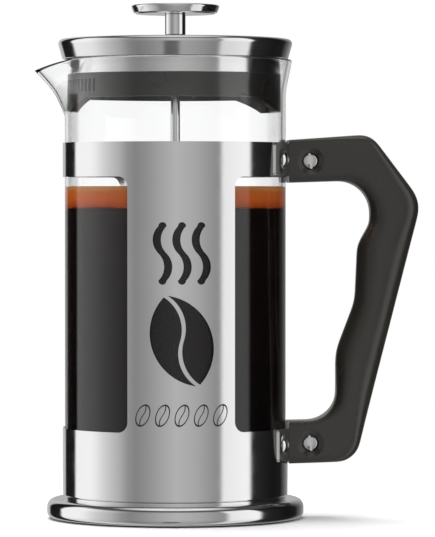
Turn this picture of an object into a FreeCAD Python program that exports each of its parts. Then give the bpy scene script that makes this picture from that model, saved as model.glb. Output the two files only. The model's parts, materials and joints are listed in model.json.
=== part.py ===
import FreeCAD, Part
import math
import os
import re
from collections import namedtuple
import Sketcher

# A one-litre French press: a glass beaker in a pierced steel sleeve, with a handle on two brackets, and a
# lid that carries a plunger and its filter.
#
# Millimetres. The origin is the middle of the underside, on the surface the press stands on. +Z is up along
# the beaker's axis, +X points to the handle, -X to the spout and -Y to the pierced front upright. The plunger
# is pressed down, with its filter near the bottom of the beaker.

# ---------------------------------------------------------------------------------------------------------
# Driving sizes, in millimetres unless they say degrees. Every name has an underscore.
# ---------------------------------------------------------------------------------------------------------

SIZES = {
    # base
    "ring_ledge": 6.9,           # how far the base ring stands out from the sleeve
    "ring_height": 8.8,
    "ring_sheet": 1.0,
    "ring_bend": 2.4,            # outside radius of the ring's two bends
    "ring_return": 3.2,          # width of the lip turned in under the floor
    "ring_lift": 0.6,            # the ring stays clear of the table by this much
    "floor_sheet": 1.0,
    "pad_bevel": 0.4,
    "cushion_radius": 38.0,
    "cushion_height": 2.4,
    # sleeve
    "sleeve_gap": 0.3,           # between the glass and the sleeve
    "sleeve_sheet": 0.6,
    "sleeve_top": 162.8,
    "neck_step": 0.8,            # the sleeve draws in by this much at its foot
    "neck_gap": 1.0,             # shadow gap between the base ring and the sleeve's shoulder
    "window_sill": 39.5,
    "upper_band": 14.8,          # height of the band above the windows
    "upright_half": 27.85,       # degrees to each side of the front and the back
    "window_corner": 4.5,
    # pierced motif: a split bean under three wisps of steam
    "bean_height": 78.5,         # height of the bean's middle above the table
    "bean_half_length": 20.0,
    "bean_half_width": 13.0,
    "bean_tilt": 20.0,           # degrees
    "crease_half": 0.9,          # half the width of the bridge down the bean
    "crease_swing": 3.4,         # how far the bridge swings to each side
    "wisp_foot": 104.0,
    "wisp_length": 23.0,
    "wisp_width": 3.4,
    "wisp_swing": 2.4,
    "wisp_pitch": 8.2,
    # glass
    "glass_radius": 47.9,
    "glass_wall": 1.8,
    "glass_base": 2.2,
    "glass_heel": 8.0,           # outside radius between wall and bottom
    "glass_show": 36.0,          # how far the rim stands above the sleeve
    "stand_gap": 0.1,            # between the glass and its cushion
    "rim_flare": 2.8,
    "rim_height": 13.9,          # height of the flared part
    "rim_sweep": 30.0,           # radius with which the flare leaves the wall
    "spout_reach": 16.0,         # the spout's point beyond the wall, before its rim is sloped
    "spout_drop": 24.4,          # from the rim down to the spout's root
    "spout_root_inset": 1.1,     # the root starts inside the wall
    "spout_spread": 35.0,        # degrees to each side where the spout leaves the rim
    "spout_root_half": 6.0,
    "spout_point": 4.0,          # rounding of the spout's point at the rim
    "spout_wall": 2.3,           # measured level, so more than the glass is thick
    "spout_slope": 4.6,          # the rim falls by this much at the point
    # lid
    "lid_gap": 0.3,              # between the glass rim and the cap's edge
    "lid_sheet": 0.8,
    "cap_height": 8.5,
    "cap_flare": 2.4,            # the cap is wider at its top than at its edge
    "cap_overhang": 1.2,         # the cap's top beyond the glass rim
    "cap_bend": 1.9,
    "skirt_show": 6.6,           # height of steel seen between cap and collar
    "skirt_bend": 1.6,
    "collar_gap": 0.4,           # between the collar and the glass
    "collar_wall": 2.0,
    "collar_plate": 2.0,
    "collar_height": 10.5,
    "collar_boss": 7.0,
    "lug_drop": 5.9,
    "spout_lug_wide": 31.4,      # degrees to each side, at the top of the lug
    "spout_lug_narrow": 13.6,    # degrees to each side, at its foot
    "back_lug_wide": 46.0,
    "back_lug_narrow": 25.0,
    "comb_width": 1.4,
    "comb_height": 5.6,
    "comb_rise": 2.4,            # from the collar's foot to the foot of the slots
    "comb_pitch": 3.5,           # degrees
    "comb_half": 38.5,           # degrees from the spout to the last slot
    # guide in the middle of the lid
    "guide_radius": 4.0,
    "guide_gap": 0.08,           # round the guide, in the lid
    "guide_play": 0.1,           # along the guide, in the lid
    "flange_radius": 6.5,
    "flange_height": 1.7,
    "washer_radius": 8.0,
    "washer_height": 1.0,
    "nut_flats": 12.0,
    "nut_height": 4.0,
    "guide_tail": 0.6,           # the guide ends below its nut
    # plunger
    "rod_radius": 2.05,
    "rod_gap": 0.08,             # round the rod, in the guide
    "press_gap": 0.1,            # between the stem and the guide when pressed
    "stem_radius": 4.45,
    "stem_length": 9.1,
    "knob_radius": 19.8,
    "knob_height": 3.9,
    "knob_taper": 1.3,           # the knob is narrower below by this much
    "knob_sheet": 1.0,
    "knob_bend": 0.8,
    "knob_lip": 0.5,             # the underside stands below the steel
    "rod_entry": 2.2,            # how far the rod goes into the knob
    # filter
    "grounds_gap": 4.7,          # under the cross plate, above the glass
    "cross_sheet": 0.8,
    "cross_boss": 5.0,
    "cross_boss_height": 2.5,
    "cross_margin": 2.5,         # cross plate's edge inside the mesh's rim
    "spoke_half": 9.0,           # degrees
    "cross_rim": 5.0,
    "cross_eye": 9.0,
    "mesh_gap": 0.4,             # between the mesh and the glass
    "mesh_sheet": 0.3,
    "mesh_rim": 4.2,
    "spring_wire": 1.6,          # half the thickness of the coiled edge spring
    "spring_gap": 0.1,
    "plate_sheet": 0.8,
    "plate_height": 2.0,
    "plate_outer_hole": 3.0,
    "plate_outer_ring": 31.0,
    "plate_inner_hole": 2.4,
    "plate_inner_ring": 17.0,
    "hub_radius": 5.0,
    "hub_height": 6.0,
    # brackets
    "bracket_sheet": 0.7,
    "bracket_height": 14.0,
    "upper_wing": 33.0,          # degrees to each side of the handle
    "lower_wing": 28.8,
    "wing_round": 1.5,
    "lower_drop": 7.2,          # from the window sill down to the lower bracket's middle
    "ear_spread": 6.4,
    "ear_half_height": 5.0,
    "ear_round": 4.8,
    "ear_tail": 5.0,
    "rivet_angle": 21.0,         # degrees to each side of the handle
    "rivet_radius": 2.0,
    "rivet_head": 3.75,
    "rivet_dome": 1.6,
    "dome_rise": 0.8,            # share of the dome's height at the share dome_reach of its radius
    "dome_reach": 0.6,
    "rivet_flush": 0.1,          # the rivet ends short of the sleeve's inside
    # handle and its screws
    "handle_width": 18.0,
    "handle_edge": 2.8,
    "screw_reach": 9.4,          # from the sleeve to the screws
    "upper_screw_drop": 0.5,     # below the upper bracket's middle
    "lower_screw_rise": 0.3,    # above the lower bracket's middle
    "recess_radius": 5.85,
    "recess_depth": 1.6,
    "head_radius": 3.35,
    "head_gap": 0.35,
    "head_height": 2.6,
    "head_seat": 5.2,            # from the handle's middle to the screw head's seat
    "head_bend": 0.8,
    "driver_width": 0.9,
    "driver_depth": 1.1,
    "driver_turn": 8.0,          # degrees
    "barrel_radius": 2.3,
    "barrel_gap": 0.1,
    "barrel_length": 9.6,
    "thread_radius": 1.5,
    "thread_length": 7.2,
    # corners of the handle: how far out from the bracket, and how far above its own screw
    "shoulder_out": 35.3,
    "shoulder_rise": 11.7,
    "root_rise": 9.2,
    "knee_out": 57.4,
    "knee_fall": 17.5,
    "crook_out": 35.3,
    "crook_fall": 8.3,
    "root_fall": 9.4,
    "thumb_out": 35.1,
    "thumb_fall": 27.0,
    "palm_out": 29.7,
    "palm_fall": 36.5,
    "waist_out": 28.6,
    "waist_rise": 61.5,
    "finger_out": 20.2,
    "finger_rise": 39.5,
    "foot_out": 20.4,
    "foot_rise": 10.0,
    "toe_rise": 9.6,
    "heel_out": 28.8,
    "heel_fall": 8.1,
    "toe_fall": 8.9,
    # rounding of those corners
    "shoulder_bend": 9.0,
    "knee_bend": 13.0,
    "crook_bend": 13.5,
    "thumb_bend": 8.0,
    "palm_bend": 14.0,
    "waist_bend": 24.0,
    "finger_bend": 26.0,
    "foot_bend": 12.5,
    "heel_bend": 10.5,
}

# Sizes that follow from the driving ones, as expressions of them.
RING_INSIDE_FOOT = "(ring_lift + ring_sheet)"
FLOOR_TOP = f"({RING_INSIDE_FOOT} + floor_sheet)"
CUSHION_TOP = f"({FLOOR_TOP} + cushion_height)"
GLASS_FOOT = f"({CUSHION_TOP} + stand_gap)"
GLASS_FLOOR = f"({GLASS_FOOT} + glass_base)"
GLASS_TOP = "(sleeve_top + glass_show)"
GLASS_INSIDE = "(glass_radius - glass_wall)"
RIM_FOOT = f"({GLASS_TOP} - rim_height)"
RIM_RADIUS = "(glass_radius + rim_flare)"
SLEEVE_INSIDE = "(glass_radius + sleeve_gap)"
SLEEVE_OUTSIDE = f"({SLEEVE_INSIDE} + sleeve_sheet)"
NECK_INSIDE = f"({SLEEVE_INSIDE} - neck_step)"
NECK_OUTSIDE = f"({SLEEVE_OUTSIDE} - neck_step)"
NECK_TOP = "(ring_height + neck_gap)"
RING_OUTSIDE = f"({SLEEVE_OUTSIDE} + ring_ledge)"
WINDOW_HEAD = "(sleeve_top - upper_band)"
UPPER_MOUNT = "(sleeve_top - upper_band / 2)"
LOWER_MOUNT = "(window_sill - lower_drop)"
UPPER_SCREW = f"({UPPER_MOUNT} - upper_screw_drop)"
LOWER_SCREW = f"({LOWER_MOUNT} + lower_screw_rise)"
BRACKET_OUTSIDE = f"({SLEEVE_OUTSIDE} + bracket_sheet)"
SCREW_OUT = f"({SLEEVE_OUTSIDE} + screw_reach)"
LID_SEAT = f"({GLASS_TOP} + lid_gap)"
CAP_TOP = f"({LID_SEAT} + cap_height)"
CAP_RADIUS = f"({RIM_RADIUS} + cap_overhang)"
SKIRT_TOP = f"({CAP_TOP} - lid_sheet)"
SKIRT_UNDERSIDE = f"({SKIRT_TOP} - lid_sheet)"
COLLAR_RADIUS = f"({GLASS_INSIDE} - collar_gap)"
COLLAR_INSIDE = f"({COLLAR_RADIUS} - collar_wall)"
COLLAR_TOP = f"({LID_SEAT} - skirt_show)"
COLLAR_FOOT = f"({COLLAR_TOP} - collar_height)"
LUG_FOOT = f"({COLLAR_FOOT} - lug_drop)"
PLATE_UNDERSIDE = f"({COLLAR_TOP} - collar_plate)"
LID_HOLE = "(guide_radius + guide_gap)"
FLANGE_FOOT = f"({CAP_TOP} + guide_play)"
FLANGE_TOP = f"({FLANGE_FOOT} + flange_height)"
WASHER_TOP = f"({PLATE_UNDERSIDE} - guide_play)"
NUT_TOP = f"({WASHER_TOP} - washer_height)"
NUT_FOOT = f"({NUT_TOP} - nut_height)"
STEM_FOOT = f"({FLANGE_TOP} + press_gap)"
KNOB_FOOT = f"({STEM_FOOT} + stem_length)"
KNOB_TOP = f"({KNOB_FOOT} + knob_height)"
KNOB_INSIDE = "(knob_radius - knob_taper - knob_sheet)"
KNOB_CEILING = f"({KNOB_TOP} - knob_sheet)"
ROD_TOP = f"({KNOB_FOOT} + rod_entry)"
CROSS_FOOT = f"({GLASS_FLOOR} + grounds_gap)"
ROD_FOOT = f"({CROSS_FOOT} - cross_boss_height)"
MESH_FOOT = f"({CROSS_FOOT} + cross_sheet)"
MESH_TOP = f"({MESH_FOOT} + mesh_sheet)"
MESH_RADIUS = f"({GLASS_INSIDE} - mesh_gap)"
SPRING_OUTSIDE = f"({MESH_RADIUS} - mesh_sheet - spring_gap)"
SPRING_MIDDLE = f"({SPRING_OUTSIDE} - spring_wire)"
PLATE_RADIUS = f"({SPRING_OUTSIDE} - 2 * spring_wire - spring_gap)"
PLATE_TOP = f"({MESH_TOP} + plate_height)"
CROSS_RADIUS = f"({MESH_RADIUS} - cross_margin)"

# ---------------------------------------------------------------------------------------------------------
# Document, sheet and helpers
# ---------------------------------------------------------------------------------------------------------

Via = namedtuple("Via", "x y")
Run = namedtuple("Run", "index start end")
LOCAL_Y = FreeCAD.Vector(0, 1, 0)
LOCAL_Z = FreeCAD.Vector(0, 0, 1)
HAIR = 1e-4
BEYOND = 2.0

doc = FreeCAD.newDocument("FrenchPress")
sheet = doc.addObject("Spreadsheet::Sheet", "dim")
sub_parts = []


def fill_sheet():
    """Put every driving size into the sheet under its own name."""
    for row, (name, size) in enumerate(SIZES.items(), start=1):
        sheet.set(f"A{row}", str(size))
        sheet.setAlias(f"A{row}", name)
    doc.recompute()


def bound(expression):
    """The expression with each size pointed at the sheet; only sizes have an underscore in their names."""
    return re.sub(r"\b([a-z]+(?:_[a-z]+)+)\b", r"dim.\1", expression)


def number(expression):
    """What an expression of sizes works out to."""
    return FreeCAD.Units.Quantity(sheet.evalExpression(bound(expression))).Value


def point(x, y):
    """A sketch point given by two expressions."""
    return FreeCAD.Vector(number(x), number(y), 0)


def keep(body):
    """Count an object as one of the press's sub-parts."""
    sub_parts.append(body)
    return body


def new_body(label):
    """An empty body for one sub-part."""
    body = doc.addObject("PartDesign::Body", label)
    body.Label = label
    return keep(body)


def own_plane(body, role):
    """One of the body's own origin planes."""
    return next(plane for plane in body.Origin.OriginFeatures if plane.Role == role)


def new_sketch(body, role, base=("0", "0", "0"), turn="0", axis=LOCAL_Y):
    """A sketch on one of the body's planes, moved by base along its own directions and turned about one."""
    sketch = body.newObject("Sketcher::SketchObject", f"{body.Label}_sketch")
    sketch.AttachmentSupport = (own_plane(body, role), "")
    sketch.MapMode = "FlatFace"
    if turn != "0":
        rotation = FreeCAD.Rotation(axis, number(turn))
        sketch.AttachmentOffset = FreeCAD.Placement(FreeCAD.Vector(), rotation)
        sketch.setExpression("AttachmentOffset.Rotation.Angle", bound(turn))
    for letter, expression in zip("xyz", base):
        if expression != "0":
            sketch.setExpression(f"AttachmentOffset.Base.{letter}", bound(expression))
    return sketch


def pin(sketch, index, position, x, y):
    """Tie one sketch point to two expressions, measured from the sketch's origin."""
    for kind, expression in (("DistanceX", x), ("DistanceY", y)):
        constraint = Sketcher.Constraint(kind, -1, 1, index, position, number(expression))
        row = sketch.addConstraint(constraint)
        sketch.setExpression(f"Constraints[{row}]", bound(expression))


def guide_point(sketch, x, y):
    """A construction point tied to two expressions."""
    index = sketch.addGeometry(Part.Point(point(x, y)), True)
    pin(sketch, index, 1, x, y)
    return index


def add_arc(sketch, start, middle, end):
    """An arc through three points, always stored counter-clockwise, and which of its ends is which."""
    if (middle - start).cross(end - middle).z > 0:
        return Run(sketch.addGeometry(Part.Arc(start, middle, end), False), 1, 2)
    return Run(sketch.addGeometry(Part.Arc(end, middle, start), False), 2, 1)


def rounding(before, corner, after, radius):
    """Where an arc of this radius starts, its middle, and where it ends, inside one corner."""
    back = (before - corner).normalize()
    ahead = (after - corner).normalize()
    half = back.getAngle(ahead) / 2
    reach = radius / math.tan(half)
    inward = (back + ahead).normalize()
    middle = corner + inward * (radius / math.sin(half) - radius)
    return corner + back * reach, middle, corner + ahead * reach


def draw(sketch, *outline):
    """Draw one closed outline and tie it to the sheet.

    Each item is a corner (x, y), a rounded corner (x, y, radius), or Via(x, y), which makes the run between
    its two neighbours an arc through that point.
    """
    corners = [item for item in outline if not isinstance(item, Via)]
    bends = {}
    seen = 0
    for item in outline:
        if isinstance(item, Via):
            bends[seen - 1] = item
        else:
            seen += 1
    spots = [point(corner[0], corner[1]) for corner in corners]
    count = len(corners)
    arrive = list(spots)
    leave = list(spots)
    middles = {}
    for k, corner in enumerate(corners):
        if len(corner) == 3:
            radius = number(corner[2])
            arrive[k], middles[k], leave[k] = rounding(spots[k - 1], spots[k], spots[(k + 1) % count], radius)

    runs = []
    for k in range(count):
        end = arrive[(k + 1) % count]
        if k in bends:
            runs.append(add_arc(sketch, leave[k], point(bends[k].x, bends[k].y), end))
        else:
            runs.append(Run(sketch.addGeometry(Part.LineSegment(leave[k], end), False), 1, 2))

    for k, corner in enumerate(corners):
        last = runs[k - 1]
        following = runs[k]
        if k in middles:
            arc = add_arc(sketch, arrive[k], middles[k], leave[k])
            sketch.addConstraint(Sketcher.Constraint("Tangent", last.index, last.end, arc.index, arc.start))
            sketch.addConstraint(
                Sketcher.Constraint("Tangent", arc.index, arc.end, following.index, following.start))
            row = sketch.addConstraint(Sketcher.Constraint("Radius", arc.index, number(corner[2])))
            sketch.setExpression(f"Constraints[{row}]", bound(corner[2]))
            tip = guide_point(sketch, corner[0], corner[1])
            sketch.addConstraint(Sketcher.Constraint("PointOnObject", tip, 1, last.index))
            sketch.addConstraint(Sketcher.Constraint("PointOnObject", tip, 1, following.index))
        else:
            sketch.addConstraint(
                Sketcher.Constraint("Coincident", last.index, last.end, following.index, following.start))
            pin(sketch, following.index, following.start, corner[0], corner[1])
    for k, bend in bends.items():
        via = guide_point(sketch, bend.x, bend.y)
        sketch.addConstraint(Sketcher.Constraint("PointOnObject", via, 1, runs[k].index))


def draw_circle(sketch, x, y, radius):
    """Draw a circle and tie its centre and radius to the sheet."""
    circle = Part.Circle(point(x, y), LOCAL_Z, number(radius))
    index = sketch.addGeometry(circle, False)
    pin(sketch, index, 3, x, y)
    row = sketch.addConstraint(Sketcher.Constraint("Radius", index, number(radius)))
    sketch.setExpression(f"Constraints[{row}]", bound(radius))


def draw_box(sketch, left, low, right, high):
    """Draw an upright rectangle."""
    draw(sketch, (left, low), (right, low), (right, high), (left, high))


def finish(body, feature, grows):
    """Recompute, and make sure that the feature really added to the body or cut it."""
    before = body.BaseVolume
    doc.recompute()
    after = body.Shape.Volume
    changed = after - before
    if (changed <= HAIR) if grows else (changed >= -HAIR):
        raise RuntimeError(f"{feature.Label} changed {body.Label} by {changed:.3f} cubic millimetres")
    body.BaseVolume = after
    return feature


def new_feature(body, kind, sketch):
    """A PartDesign feature of this kind on a sketch."""
    if not hasattr(body, "BaseVolume"):
        body.addProperty("App::PropertyFloat", "BaseVolume", "Check", "Volume before the next feature")
    feature = body.newObject(f"PartDesign::{kind}", f"{body.Label}_{kind.lower()}")
    if sketch is not None:
        feature.Profile = sketch
    return feature


def turn(body, sketch, angle="360", axis="V_Axis", cut=False):
    """Turn a sketch about its own axis; a part turn spreads evenly to both sides of the sketch."""
    feature = new_feature(body, "Groove" if cut else "Revolution", sketch)
    feature.ReferenceAxis = (sketch, [axis])
    if angle != "360":
        feature.Midplane = True
        feature.setExpression("Angle", bound(angle))
    return finish(body, feature, grows=not cut)


def pad(body, sketch, length, symmetric=False):
    """Raise a sketch by a length."""
    feature = new_feature(body, "Pad", sketch)
    if symmetric:
        feature.SideType = "Symmetric"
    feature.setExpression("Length", bound(length))
    return finish(body, feature, grows=True)


def pocket(body, sketch, length=None, symmetric=False, forward=False):
    """Cut a sketch into the body: by a length or right through, backward, forward or both ways."""
    feature = new_feature(body, "Pocket", sketch)
    if symmetric:
        feature.SideType = "Symmetric"
    feature.Reversed = forward
    if length is None:
        feature.Type = "ThroughAll"
    else:
        feature.setExpression("Length", bound(length))
    return finish(body, feature, grows=False)


def loft(body, sketches, cut=False):
    """Join sketches by straight-sided skin, added or cut."""
    feature = new_feature(body, "SubtractiveLoft" if cut else "AdditiveLoft", sketches[0])
    feature.Sections = sketches[1:]
    feature.Ruled = True
    return finish(body, feature, grows=not cut)


def mirror(body, features, role, grows):
    """Repeat features on the other side of one of the body's planes."""
    feature = new_feature(body, "Mirrored", None)
    feature.Originals = features
    feature.MirrorPlane = (own_plane(body, role), [""])
    body.Tip = feature
    return finish(body, feature, grows)


def ring_of(body, features, sketch, count, sweep="360", backward=False):
    """Repeat features about the sketch's upright axis."""
    feature = new_feature(body, "PolarPattern", None)
    feature.Originals = features
    feature.Axis = (sketch, ["V_Axis" if sketch.AttachmentSupport[0][0].Role != "XY_Plane" else "N_Axis"])
    feature.Reversed = backward
    feature.setExpression("Angle", bound(sweep))
    feature.setExpression("Occurrences", bound(count))
    body.Tip = feature
    return finish(body, feature, grows=False)


def soften(body, radius, wanted):
    """Round the edges that wanted picks out of the body's last feature."""
    base = body.Tip
    names = [f"Edge{k}" for k, edge in enumerate(base.Shape.Edges, start=1) if wanted(edge)]
    feature = body.newObject("PartDesign::Fillet", f"{body.Label}_fillet")
    feature.Base = (base, names)
    feature.setExpression("Radius", bound(radius))
    doc.recompute()
    body.BaseVolume = body.Shape.Volume
    return feature


def level_edge_at(height):
    """A test for short edges that lie level at this height."""
    level = number(height)

    def wanted(edge):
        return edge.Length < BEYOND and all(abs(v.Z - level) < HAIR for v in edge.Vertexes)
    return wanted


def turned_part(label, *outline):
    """A sub-part that is one outline turned about the press's axis: x is radius, y is height."""
    body = new_body(label)
    sketch = new_sketch(body, "XZ_Plane")
    draw(sketch, *outline)
    turn(body, sketch)
    return body


# ---------------------------------------------------------------------------------------------------------
# Base
# ---------------------------------------------------------------------------------------------------------


def make_base():
    """Pad, floor and ring: the ring's lip turns in under the floor and holds it."""
    pad_radius = f"({RING_OUTSIDE} - ring_return)"
    turned_part(
        "foot_pad",
        ("0", "0"),
        (f"{pad_radius} - pad_bevel", "0"),
        (pad_radius, "pad_bevel"),
        (pad_radius, RING_INSIDE_FOOT),
        ("0", RING_INSIDE_FOOT))

    floor_radius = f"({RING_OUTSIDE} - ring_bend)"
    turned_part(
        "base_floor",
        ("0", RING_INSIDE_FOOT),
        (floor_radius, RING_INSIDE_FOOT),
        (floor_radius, FLOOR_TOP),
        ("0", FLOOR_TOP))

    inner_wall = f"({RING_OUTSIDE} - ring_sheet)"
    inner_bend = "(ring_bend - ring_sheet)"
    turned_part(
        "base_ring",
        (pad_radius, "ring_lift"),
        (RING_OUTSIDE, "ring_lift", "ring_bend"),
        (RING_OUTSIDE, "ring_height", "ring_bend"),
        (NECK_OUTSIDE, "ring_height"),
        (NECK_OUTSIDE, "ring_height - ring_sheet"),
        (inner_wall, "ring_height - ring_sheet", inner_bend),
        (inner_wall, RING_INSIDE_FOOT, inner_bend),
        (pad_radius, RING_INSIDE_FOOT))

    turned_part(
        "glass_cushion",
        ("0", FLOOR_TOP),
        ("cushion_radius", FLOOR_TOP),
        ("cushion_radius", f"{CUSHION_TOP} - pad_bevel"),
        ("cushion_radius - pad_bevel", CUSHION_TOP),
        ("0", CUSHION_TOP))


# ---------------------------------------------------------------------------------------------------------
# Sleeve
# ---------------------------------------------------------------------------------------------------------


def half_bean(sketch, side):
    """One half of the bean: a full outer arc, and a crease that swings one way and then the other."""
    edge = f"({side} * crease_half)"
    draw(
        sketch,
        (edge, "-bean_half_length"),
        Via(f"{side} * bean_half_width", "0"),
        (edge, "bean_half_length"),
        Via(f"{edge} + crease_swing", "bean_half_length / 2"),
        (edge, "0"),
        Via(f"{edge} - crease_swing", "-bean_half_length / 2"))


def wisp(sketch, place):
    """One wisp of steam: a band that swings right and then left, with round ends."""
    left = f"({place} * wisp_pitch - wisp_width / 2)"
    right = f"({place} * wisp_pitch + wisp_width / 2)"
    middle = "(wisp_foot + wisp_length / 2)"
    top = "(wisp_foot + wisp_length)"
    draw(
        sketch,
        (left, "wisp_foot"),
        Via(f"{place} * wisp_pitch", "wisp_foot - wisp_width / 2"),
        (right, "wisp_foot"),
        Via(f"{right} + wisp_swing", "wisp_foot + wisp_length / 4"),
        (right, middle),
        Via(f"{right} - wisp_swing", f"{middle} + wisp_length / 4"),
        (right, top),
        Via(f"{place} * wisp_pitch", f"{top} + wisp_width / 2"),
        (left, top),
        Via(f"{left} - wisp_swing", f"{middle} + wisp_length / 4"),
        (left, middle),
        Via(f"{left} + wisp_swing", "wisp_foot + wisp_length / 4"))


def pierce_motif(body):
    """Cut the bean and the steam through the front upright only."""
    bean = new_sketch(body, "XZ_Plane", base=("0", "bean_height", "0"), turn="bean_tilt", axis=LOCAL_Z)
    half_bean(bean, 1)
    half_bean(bean, -1)
    pocket(body, bean, forward=True)
    steam = new_sketch(body, "XZ_Plane")
    for place in (-1, 0, 1):
        wisp(steam, place)
    pocket(body, steam, forward=True)


def drill_rivet_holes(body, mounts):
    """Drill a rivet hole at each mount height, to both sides of the handle."""
    holes = new_sketch(body, "YZ_Plane", turn="rivet_angle")
    for mount in mounts:
        draw_circle(holes, "0", mount, "rivet_radius")
    drilled = pocket(body, holes, forward=True)
    mirror(body, [drilled], "XZ_Plane", grows=False)


def make_sleeve():
    """Thin tube with a drawn-in neck, two large windows, the motif and the rivet holes."""
    shoulder = f"({NECK_TOP} + neck_step)"
    body = turned_part(
        "frame_sleeve",
        (NECK_INSIDE, FLOOR_TOP),
        (NECK_OUTSIDE, FLOOR_TOP),
        (NECK_OUTSIDE, NECK_TOP),
        (SLEEVE_OUTSIDE, shoulder),
        (SLEEVE_OUTSIDE, "sleeve_top"),
        (SLEEVE_INSIDE, "sleeve_top"),
        (SLEEVE_INSIDE, shoulder),
        (NECK_INSIDE, NECK_TOP))

    window = new_sketch(body, "XZ_Plane")
    draw_box(window, f"{NECK_INSIDE}", "window_sill", f"{RING_OUTSIDE}", WINDOW_HEAD)
    handle_side = turn(body, window, angle="180 - 2 * upright_half", cut=True)
    mirror(body, [handle_side], "YZ_Plane", grows=False)
    at_sill = level_edge_at("window_sill")
    at_head = level_edge_at(WINDOW_HEAD)
    soften(body, "window_corner", lambda edge: at_sill(edge) or at_head(edge))

    drill_rivet_holes(body, (UPPER_MOUNT, LOWER_MOUNT))
    pierce_motif(body)


# ---------------------------------------------------------------------------------------------------------
# Brackets and rivets
# ---------------------------------------------------------------------------------------------------------


def make_bracket(label, mount, screw, wing):
    """A strap round the sleeve with two ears, which go into the handle and take its screw."""
    body = new_body(label)
    foot = f"({mount} - bracket_height / 2)"
    top = f"({mount} + bracket_height / 2)"
    strap = new_sketch(body, "XZ_Plane")
    draw_box(strap, SLEEVE_OUTSIDE, foot, BRACKET_OUTSIDE, top)
    turn(body, strap, angle=f"2 * {wing}")

    wing_angle = math.radians(number(wing))
    sheet_edge = number("bracket_sheet") + HAIR

    def wing_corner(edge):
        middle = edge.CenterOfMass
        at_end = abs(abs(math.atan2(middle.y, middle.x)) - wing_angle) < HAIR
        return at_end and edge.Length < sheet_edge
    soften(body, "wing_round", wing_corner)
    drill_rivet_holes(body, (mount,))

    ears = new_sketch(body, "XZ_Plane")
    root = f"({SLEEVE_OUTSIDE} + bracket_sheet / 2)"
    tail = f"({SCREW_OUT} + ear_tail)"
    draw(
        ears,
        (root, f"{screw} - ear_half_height"),
        (tail, f"{screw} - ear_half_height", "ear_round"),
        (tail, f"{screw} + ear_half_height", "ear_round"),
        (root, f"{screw} + ear_half_height"))
    draw_circle(ears, SCREW_OUT, screw, "barrel_radius + barrel_gap")
    pad(body, ears, "ear_spread", symmetric=True)

    between = new_sketch(body, "XZ_Plane")
    draw_box(between, BRACKET_OUTSIDE, f"{foot} - ear_half_height", f"{tail} + ear_tail",
             f"{top} + ear_half_height")
    pocket(body, between, "ear_spread - 2 * bracket_sheet", symmetric=True)


def make_rivets(label, mount):
    """Two rivets with domed heads outside the bracket, set flush inside the sleeve."""
    body = new_body(label)
    profile = new_sketch(body, "XZ_Plane", base=("0", mount, "0"), turn="rivet_angle")
    tail = f"({SLEEVE_INSIDE} + rivet_flush)"
    crown = f"({BRACKET_OUTSIDE} + rivet_dome)"
    draw(
        profile,
        (tail, "0"),
        (crown, "0"),
        Via(f"{BRACKET_OUTSIDE} + dome_rise * rivet_dome", "dome_reach * rivet_head"),
        (BRACKET_OUTSIDE, "rivet_head"),
        (BRACKET_OUTSIDE, "rivet_radius"),
        (tail, "rivet_radius"))
    one = turn(body, profile, axis="H_Axis")
    mirror(body, [one], "XZ_Plane", grows=True)


# ---------------------------------------------------------------------------------------------------------
# Handle and its screws
# ---------------------------------------------------------------------------------------------------------


def handle_outline(sketch):
    """The handle seen from the side: straight arms, a slanted shoulder and a grip with finger hollows."""
    def out(name):
        return f"{BRACKET_OUTSIDE} + {name}"

    draw(
        sketch,
        (SLEEVE_OUTSIDE, f"{LOWER_SCREW} - toe_fall"),
        (out("heel_out"), f"{LOWER_SCREW} - heel_fall", "heel_bend"),
        (out("knee_out"), f"{UPPER_SCREW} - knee_fall", "knee_bend"),
        (out("shoulder_out"), f"{UPPER_SCREW} + shoulder_rise", "shoulder_bend"),
        (SLEEVE_OUTSIDE, f"{UPPER_SCREW} + root_rise"),
        (SLEEVE_OUTSIDE, f"{UPPER_SCREW} - root_fall"),
        (out("crook_out"), f"{UPPER_SCREW} - crook_fall", "crook_bend"),
        (out("thumb_out"), f"{UPPER_SCREW} - thumb_fall", "thumb_bend"),
        (out("palm_out"), f"{UPPER_SCREW} - palm_fall", "palm_bend"),
        (out("waist_out"), f"{LOWER_SCREW} + waist_rise", "waist_bend"),
        (out("finger_out"), f"{LOWER_SCREW} + finger_rise", "finger_bend"),
        (out("foot_out"), f"{LOWER_SCREW} + foot_rise", "foot_bend"),
        (SLEEVE_OUTSIDE, f"{LOWER_SCREW} + toe_rise"))


def screw_axis_sketch(body, screw):
    """A sketch whose upright axis is the screw's own axis, across the handle."""
    return new_sketch(body, "XY_Plane", base=(SCREW_OUT, "0", screw))


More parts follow.
